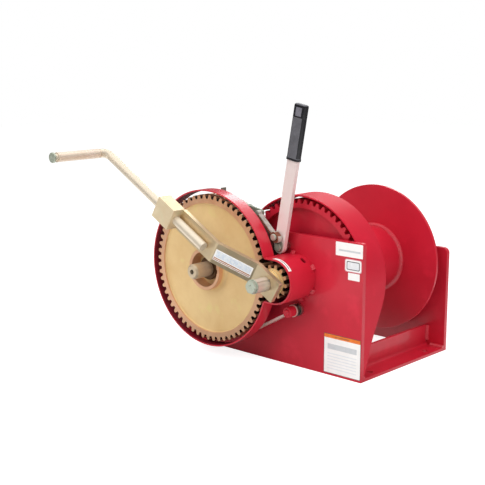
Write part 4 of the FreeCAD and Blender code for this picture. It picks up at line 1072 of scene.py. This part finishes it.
@dataclass
class Lever:
    """Brake lever with its grip, cover, boss and pin.

    Attributes:
        pivot: X and Z of the lever's pivot.
        lean: Its lean from upright, towards the right.
        bar_middle: Station of the bar's middle.
        bar_edge: Rounding of the bar.
        bar_steps: Steps across it.
        grip_start: Distance of the grip's mouth from the pivot.
        grip_end: Distance of its top.
        grip_width: Its width.
        grip_thickness: Its thickness.
        side_round: Rounding of its long edges.
        side_steps: Steps across that.
        top_round: Rounding of its top.
        top_steps: Steps across that.
        rim_height: Height of the rim at its mouth.
        rim_swell: How far the rim stands out.
        smooth_length: Length of the smooth end.
        groove: Depth of the groove before it.
        ease: Half the groove's width, and the height of the step above the rim.
        window_margin: Border round the smooth end's glossy field.
        window_depth: How far the field is pressed in.
        flat_facing: Least part of a normal along Y on a flat.
        top_facing: Least part of a normal upwards on the top, which is pebbled too.
        skin_facing: Least part of a normal sideways on the skin that a rim or a groove moves.
    """

    pivot: tuple[float, float] = (22.3 * MM, 249.8 * MM)
    lean: float = math.radians(10.3)
    bar_middle: float = -19.75 * MM
    bar_edge: float = 0.9 * MM
    bar_steps: int = 3
    grip_start: float = 181.6 * MM
    grip_end: float = 293.8 * MM
    grip_width: float = 30.4 * MM
    grip_thickness: float = 14.5 * MM
    side_round: float = 5.5 * MM
    side_steps: int = 6
    top_round: float = 4.2 * MM
    top_steps: int = 5
    rim_height: float = 4.5 * MM
    rim_swell: float = 0.8 * MM
    smooth_length: float = 27.0 * MM
    groove: float = 0.45 * MM
    ease: float = 0.8 * MM
    window_margin: float = 2.4 * MM
    window_depth: float = 0.3 * MM
    flat_facing: float = 0.97
    top_facing: float = 0.5
    skin_facing: float = 0.1

    def build(self) -> None:
        """Build the lever."""
        refined("brake_lever", LEVER_ZINC, self.bar_edge, self.bar_steps)
        self.grip()
        refined("lever_cover", LEVER_STEEL)
        refined("lever_boss", RUSTED_STEEL, FINE_EDGE)
        refined("lever_pin", FASTENER_ZINC, FINE_EDGE)
        refined("lever_pivot_bolt", FASTENER_ZINC)

    def grip(self) -> None:
        """Build the dipped grip: a rim at its mouth, pebbled flats and a smooth end past a groove."""
        bm = bmesh.new()
        length = self.grip_end - self.grip_start
        shape = Matrix.Diagonal((self.grip_width, self.grip_thickness, length, 1.0))
        bmesh.ops.create_cube(bm, size=1.0, matrix=Matrix.Translation((0.0, 0.0, length / 2)) @ shape)
        uprights = [edge for edge in bm.edges if abs((edge.verts[0].co - edge.verts[1].co).z) > length / 2]
        bmesh.ops.bevel(bm, geom=uprights, offset=self.side_round, offset_type="OFFSET", affect="EDGES",
                        segments=self.side_steps, profile=0.5, material=-1)
        tops = [edge for edge in bm.edges if all(vert.co.z > length - ON_PLANE for vert in edge.verts)]
        bmesh.ops.bevel(bm, geom=tops, offset=self.top_round, offset_type="OFFSET", affect="EDGES",
                        segments=self.top_steps, profile=0.5, material=-1)
        step = length - self.smooth_length
        for height in (self.rim_height, self.rim_height + self.ease, step - self.ease, step,
                       step + self.ease):
            bmesh.ops.bisect_plane(bm, geom=bm.verts[:] + bm.edges[:] + bm.faces[:], dist=ON_PLANE,
                                   plane_co=(0.0, 0.0, height), plane_no=(0.0, 0.0, 1.0))
        self.swell(bm, lambda height: height < self.rim_height + ON_PLANE, self.rim_swell)
        self.swell(bm, lambda height: abs(height - step) < ON_PLANE, -self.groove)
        # Faces off the pebbled flats and the top get the dark smooth vinyl; on the grip's sides and round
        # edges that dark is a painted dark reflection
        for face in bm.faces:
            height = face.calc_center_median().z
            flat = abs(face.normal.y) > self.flat_facing and self.rim_height < height < step
            face.material_index = int(not flat and face.normal.z < self.top_facing)
        self.window(bm, step)
        middle = Vector((self.pivot[0], station_y(self.bar_middle), self.pivot[1]))
        lean = Matrix.Translation(middle) @ Matrix.Rotation(self.lean, 4, "Y")
        place = lean @ Matrix.Translation((0.0, 0.0, self.grip_start))
        bmesh.ops.transform(bm, matrix=place, verts=bm.verts)
        piece = new_piece(bm, "lever_grip_dipped", [GREY_VINYL, SMOOTH_VINYL_PAINTED_DARK_REFLECTION, PALE_VINYL], "lever")
        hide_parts("lever_grip")

    def swell(self, bm: bmesh.types.BMesh, chosen: Callable[[float], bool], amount: float) -> None:
        """Push the skin of the grip out where its height is chosen.

        Args:
            bm: The grip, upright on its mouth.
            chosen: Says whether a height is pushed.
            amount: How far, or a negative size to pull it in.
        """
        bm.normal_update()
        for vert in bm.verts:
            sideways = Vector((vert.normal.x, vert.normal.y, 0.0))
            if chosen(vert.co.z) and sideways.length > self.skin_facing:
                vert.co += sideways.normalized() * amount

    def window(self, bm: bmesh.types.BMesh, step: float) -> None:
        """Press a shallow glossy field into both flats of the smooth end.

        Args:
            bm: The grip, upright on its mouth.
            step: Height at which the smooth end starts.
        """
        flats = [face for face in bm.faces if abs(face.normal.y) > self.flat_facing
                 and face.calc_center_median().z > step + self.ease]
        bmesh.ops.inset_individual(bm, faces=flats, thickness=self.window_margin, depth=-self.window_depth,
                                   use_even_offset=True)
        for face in flats:
            face.material_index = 2


@dataclass
class PlateLabels:
    """Blank labels on the near plate and on the pinion hood.

    Attributes:
        upper: Wide label near the plate's top corner, with one grey rule.
        framed: Rounded label with a tinted edge and a dark frame.
        small: Plain label below it.
        lower: Tall label at the plate's foot, with an orange head, a grey field and a dark rim that paints
            the thin shadow along its edges.
        line_ends: Ends of the lower label's rules, in millimetres.
        line_foot: Height of the lowest rule, in millimetres.
        line_pitch: Distance from one rule to the next, in millimetres.
        line_height: Height of a rule, in millimetres.
        line_corner: Radius of its corners, in millimetres.
        lines: How many rules there are.
        hood_depth: Thickness of the hood's strip.
        hood_stations: The strip's edges.
        hood_angles: Its ends, in degrees round the hood.
        hood_steps: Steps round it.
        rule_half: Half the width of the rule on it.
        rule_insets: Degrees between the strip's ends and the rule's.
    """

    upper: tuple[Print, ...] = (
        Print((148.3, 213.6), (248.0, 275.2), 1.2, LABEL_WHITE),
        Print((156.0, 208.0), (257.5, 261.0), 0.6, LABEL_GREY, 1))
    framed: tuple[Print, ...] = (
        Print((171.0, 211.6), (218.8, 244.4), 4.5, LABEL_ROSE),
        Print((172.4, 210.2), (220.1, 243.0), 3.8, LABEL_WHITE, 1),
        Print((175.6, 207.0), (223.0, 240.0), 2.6, LABEL_INK_AND_SHADOW, 2),
        Print((177.2, 205.4), (224.6, 238.4), 1.8, LABEL_PALE, 3))
    small: tuple[Print, ...] = (Print((179.4, 207.2), (202.9, 217.2), 1.0, LABEL_WHITE),)
    lower: tuple[Print, ...] = (
        # Dark sheet a little wider than the label: painted shadow along its edges
        Print((122.7, 213.6), (4.7, 86.2), 1.2, LABEL_INK_AND_SHADOW),
        Print((123.6, 212.7), (5.6, 85.3), 1.0, LABEL_WHITE, 1),
        Print((123.6, 212.7), (77.8, 85.3), 1.0, LABEL_ORANGE, 2),
        Print((150.0, 186.0), (80.4, 82.4), 0.4, LABEL_BROWN, 3),
        Print((132.0, 204.0), (55.0, 66.0), 0.8, LABEL_GREY, 2))
    line_ends: tuple[float, float] = (132.0, 204.0)
    line_foot: float = 14.0
    line_pitch: float = 6.2
    line_height: float = 2.2
    line_corner: float = 0.3
    lines: int = 6
    hood_depth: float = 0.25 * MM
    hood_stations: tuple[float, float] = (-72.5 * MM, -64.0 * MM)
    hood_angles: tuple[float, float] = (35.0, 97.0)
    hood_steps: int = 24
    rule_half: float = 0.7 * MM
    rule_insets: tuple[float, float] = (6.0, 22.0)

    def build(self) -> None:
        """Build the labels."""
        self.on_plate("plate_label_upper", self.upper, [LABEL_WHITE, LABEL_GREY])
        self.on_plate("plate_label_framed", self.framed, [LABEL_WHITE, LABEL_PALE, LABEL_ROSE, LABEL_INK_AND_SHADOW])
        self.on_plate("plate_label_small", self.small, [LABEL_WHITE])
        feet = (self.line_foot + row * self.line_pitch for row in range(self.lines))
        rules = tuple(Print(self.line_ends, (foot, foot + self.line_height), self.line_corner, LABEL_PALE, 2)
                      for foot in feet)
        self.on_plate("plate_label_lower", self.lower + rules, [
            LABEL_WHITE, LABEL_INK_AND_SHADOW, LABEL_ORANGE, LABEL_GREY, LABEL_BROWN, LABEL_PALE])
        self.hood()

    def on_plate(self, name: str, prints: Sequence[Print], finishes: Sequence[Finish]) -> None:
        """Print a label, drawn in X and height, on the near plate's outer face."""
        label_piece(prints, name, finishes, "base", Vector((0.0, station_y(0.0), 0.0)),
                    Vector((1.0, 0.0, 0.0)), Vector((0.0, 0.0, 1.0)))

    def hood(self) -> None:
        """Build the curved strip behind the hood's front rim, blank but for a dark rule along its middle."""
        bm = bmesh.new()
        self.curved_strip(bm, self.hood_stations, self.hood_angles, 0.0, 0)
        middle = sum(self.hood_stations) / 2
        ends = (self.hood_angles[0] + self.rule_insets[0], self.hood_angles[1] - self.rule_insets[1])
        self.curved_strip(bm, (middle - self.rule_half, middle + self.rule_half), ends, self.hood_depth, 1)
        bmesh.ops.recalc_face_normals(bm, faces=bm.faces)
        new_piece(bm, "hood_label", [LABEL_WHITE, LABEL_INK_AND_SHADOW], "base")

    def curved_strip(self, bm: bmesh.types.BMesh, stations: tuple[float, float],
                     angles: tuple[float, float], lift: float, index: int) -> None:
        """Add a thin strip that lies round the hood.

        Args:
            bm: The shape that gets the strip.
            stations: Its two edges.
            angles: Its two ends in degrees round the hood.
            lift: Height of its lower face above the hood.
            index: Its material index.
        """
        start, turn = math.radians(angles[0]), math.radians(angles[1] - angles[0])
        away = Vector((math.cos(start), 0.0, math.sin(start)))
        axis = Vector((HOOD_AXIS[0], 0.0, HOOD_AXIS[1]))
        low = HOOD_RADIUS + lift
        high = low + self.hood_depth
        spots = [axis + away * reach + Vector((0.0, station_y(station), 0.0)) for reach, station in (
            (low, stations[0]), (low, stations[1]), (high, stations[1]), (high, stations[0]))]
        known = set(bm.faces)
        loop = [bm.verts.new(spot) for spot in spots]
        edges = [bm.edges.new((loop[at - 1], loop[at])) for at in range(len(loop))]
        bmesh.ops.spin(bm, geom=loop + edges, cent=axis, axis=(0.0, -1.0, 0.0), dvec=(0.0, 0.0, 0.0),
                       angle=turn, steps=self.hood_steps, use_merge=False, use_duplicate=False)
        bmesh.ops.holes_fill(bm, edges=[edge for edge in bm.edges if edge.is_boundary], sides=0)
        for face in set(bm.faces) - known:
            face.material_index = index


@dataclass(frozen=True)
class Lamp:
    """Soft square lamp that points at the winch.

    Attributes:
        name: The lamp's name.
        place: Where it stands.
        size: Its side.
        power: Its power in watts.
        in_gloss: Whether gloss shows the lamp itself, and not only the room.
    """

    name: str
    place: tuple[float, float, float]
    size: float
    power: float
    in_gloss: bool = False

    def build(self) -> None:
        """Hang the lamp."""
        light = bpy.data.lights.new(self.name, "AREA")
        light.size = self.size
        light.energy = self.power
        lamp = bpy.data.objects.new(self.name, light)
        bpy.context.scene.collection.objects.link(lamp)
        lamp.location = self.place
        lamp.visible_glossy = self.in_gloss
        aim = Vector((0.0, 0.0, SHAFT_HEIGHT)) - Vector(self.place)
        lamp.rotation_euler = aim.to_track_quat("-Z", "Y").to_euler()


@dataclass
class Studio:
    """Floor, soft lamps, world and camera.

    Attributes:
        camera_place: Where the camera stands.
        camera_azimuth: Its angle round the winch from straight in front, in degrees.
        camera_elevation: Its angle above level, in degrees.
        lens: Its focal length in millimetres.
        sensor: Its sensor's width in millimetres.
        lamps: The lamps.
        room_light: Strength of the surroundings as even light.
        room_gloss: Their strength in gloss, near the horizon.
        ceiling_gloss: Their strength in gloss, overhead.
        ceiling_rise: Upward part of the view between which gloss goes from one to the other.
        floor_half: Half the floor's side.
        floor_colour: The floor's colour as light that it throws back, sRGB hex.
        floor_glow: Its glow to the camera.
        floor_paper: How much of the light on it the camera sees besides, which draws the shadow.
        painted_shadow_gloss: Its strength in gloss in a painted shadow, a pool in front of the winch where
            the winch's own shadow falls.
        floor_near_gloss: The same round the pool, a painted pool of light.
        floor_far_gloss: How much of that is left far out, after a painted falloff.
        painted_shadow_middle: Middle of the painted shadow.
        painted_shadow_edge: Distances from it between which the painted shadow gives way to the brighter
            floor.
        painted_light_fade: Distances from it between which the painted light fades.
    """

    camera_place: tuple[float, float, float] = (1.3342, -1.6948, 0.6402)
    camera_azimuth: float = 43.0
    camera_elevation: float = 10.76
    lens: float = 74.87
    sensor: float = 36.0
    lamps: tuple[Lamp, ...] = (
        Lamp("key", (-0.6, -2.3, 2.4), 2.6, 62.0), Lamp("side", (2.3, -0.6, 1.7), 1.8, 22.0),
        Lamp("back", (-0.8, 1.5, 1.4), 0.8, 9.0, in_gloss=True), Lamp("top", (0.3, 0.2, 2.6), 2.2, 30.0))
    room_light: float = 0.38
    room_gloss: float = 0.12
    ceiling_gloss: float = 1.0
    ceiling_rise: tuple[float, float] = (0.3, 0.7)
    floor_half: float = 6.0
    floor_colour: str = "#F4F4F4"
    floor_glow: float = 0.84
    floor_paper: float = 0.5
    painted_shadow_gloss: float = 0.1
    floor_near_gloss: float = 1.15
    floor_far_gloss: float = 0.16
    painted_shadow_middle: tuple[float, float, float] = (0.02, -0.4, 0.0)
    painted_shadow_edge: tuple[float, float] = (0.24, 0.5)
    painted_light_fade: tuple[float, float] = (0.8, 1.7)

    def build(self) -> None:
        """Build the studio."""
        self.floor()
        self.world()
        for lamp in self.lamps:
            lamp.build()
        self.camera()

    def ramp(self, tree: bpy.types.NodeTree, value: bpy.types.NodeSocket, ends: tuple[float, float],
             levels: tuple[float, float]) -> bpy.types.NodeSocket:
        """Smooth step of a value from one level to another."""
        return add_node(tree, "ShaderNodeMapRange", {"interpolation_type": "SMOOTHSTEP"}, {
            "Value": value, "From Min": ends[0], "From Max": ends[1], "To Min": levels[0],
            "To Max": levels[1]}).outputs["Result"]

    def floor(self) -> None:
        """Pale floor that shows white to the camera and keeps a soft shadow.

        In gloss its glow is painted light: a painted shadow in a pool close in front of the winch, a painted
        pool of light round it and a painted falloff with distance. Its glow isn't sampled as a lamp, which
        leaves the samples to the lamps.
        """
        bm = bmesh.new()
        bmesh.ops.create_grid(bm, x_segments=1, y_segments=1, size=self.floor_half)
        mesh = bpy.data.meshes.new("floor")
        bm.to_mesh(mesh)
        bm.free()
        floor = bpy.data.objects.new("floor", mesh)
        bpy.context.scene.collection.objects.link(floor)
        made = bpy.data.materials.new("studio_floor")
        made.use_nodes = True
        tree = made.node_tree
        tree.nodes.clear()
        path = add_node(tree, "ShaderNodeLightPath").outputs
        paper = add_node(tree, "ShaderNodeBsdfDiffuse", inputs={
            "Color": linear(self.floor_colour)}).outputs[0]
        white = add_node(tree, "ShaderNodeEmission", inputs={"Strength": self.floor_glow}).outputs[0]
        shown_paper = add_node(tree, "ShaderNodeBsdfDiffuse", inputs={
            "Color": (self.floor_paper, self.floor_paper, self.floor_paper, 1.0)}).outputs[0]
        shown = add_node(tree, "ShaderNodeAddShader", inputs={0: white, 1: shown_paper}).outputs[0]
        place = add_node(tree, "ShaderNodeTexCoord").outputs["Object"]
        # The floor's glow in gloss is painted light: a painted shadow pool in front of the winch, brighter
        # round it, fading far out
        away = add_node(tree, "ShaderNodeVectorMath", {"operation": "DISTANCE"}, {
            0: place, 1: self.painted_shadow_middle}).outputs["Value"]
        near_level = self.ramp(tree, away, self.painted_shadow_edge, (self.painted_shadow_gloss, self.floor_near_gloss))
        far_level = self.ramp(tree, away, self.painted_light_fade, (1.0, self.floor_far_gloss))
        gloss_level = add_node(tree, "ShaderNodeMath", {"operation": "MULTIPLY"}, {
            0: near_level, 1: far_level}).outputs[0]
        gloss = add_node(tree, "ShaderNodeEmission", inputs={"Strength": gloss_level}).outputs[0]
        seen = add_node(tree, "ShaderNodeMixShader", inputs={
            0: path["Is Camera Ray"], 1: paper, 2: shown}).outputs[0]
        mixed = add_node(tree, "ShaderNodeMixShader", inputs={
            0: path["Is Glossy Ray"], 1: seen, 2: gloss}).outputs[0]
        add_node(tree, "ShaderNodeOutputMaterial", inputs={"Surface": mixed})
        made.cycles.emission_sampling = "NONE"
        mesh.materials.append(made)

    def world(self) -> None:
        """White surroundings: plain to the camera, dim and even as light, brighter overhead in gloss."""
        world = bpy.data.worlds.new("white_studio")
        bpy.context.scene.world = world
        world.use_nodes = True
        world.cycles.sampling_method = "NONE"
        tree = world.node_tree
        tree.nodes.clear()
        path = add_node(tree, "ShaderNodeLightPath").outputs
        way = add_node(tree, "ShaderNodeTexCoord").outputs["Generated"]
        rise = add_node(tree, "ShaderNodeSeparateXYZ", inputs={0: way}).outputs["Z"]
        gloss = self.ramp(tree, rise, self.ceiling_rise, (self.room_gloss, self.ceiling_gloss))
        lit = add_node(tree, "ShaderNodeMix", {"data_type": "FLOAT"}, {
            0: path["Is Glossy Ray"], 2: self.room_light, 3: gloss}).outputs[0]
        strength = add_node(tree, "ShaderNodeMix", {"data_type": "FLOAT"}, {
            0: path["Is Camera Ray"], 2: lit, 3: 1.0}).outputs[0]
        light = add_node(tree, "ShaderNodeBackground", inputs={
            "Color": (1.0, 1.0, 1.0, 1.0), "Strength": strength}).outputs[0]
        add_node(tree, "ShaderNodeOutputWorld", inputs={"Surface": light})

    def camera(self) -> None:
        """Camera at the photograph's angle."""
        data = bpy.data.cameras.new("camera")
        data.lens = self.lens
        data.sensor_width = self.sensor
        camera = bpy.data.objects.new("camera", data)
        bpy.context.scene.collection.objects.link(camera)
        turn, drop = math.radians(self.camera_azimuth), math.radians(self.camera_elevation)
        ahead = Vector((-math.sin(turn) * math.cos(drop), math.cos(turn) * math.cos(drop), -math.sin(drop)))
        camera.location = self.camera_place
        camera.rotation_euler = ahead.to_track_quat("-Z", "Y").to_euler()
        bpy.context.scene.camera = camera
        bpy.context.scene.view_settings.view_transform = "Standard"


def main() -> None:
    """Build the winch's looks, piece by piece."""
    logging.basicConfig(level=logging.INFO, format="%(message)s")
    for part in (Frame(), Guards(), GearTrain(), Drum(), Crank(), BandBrake(), Lever(), PlateLabels()):
        part.build()
    Studio().build()


if __name__ == "__main__":
    main()
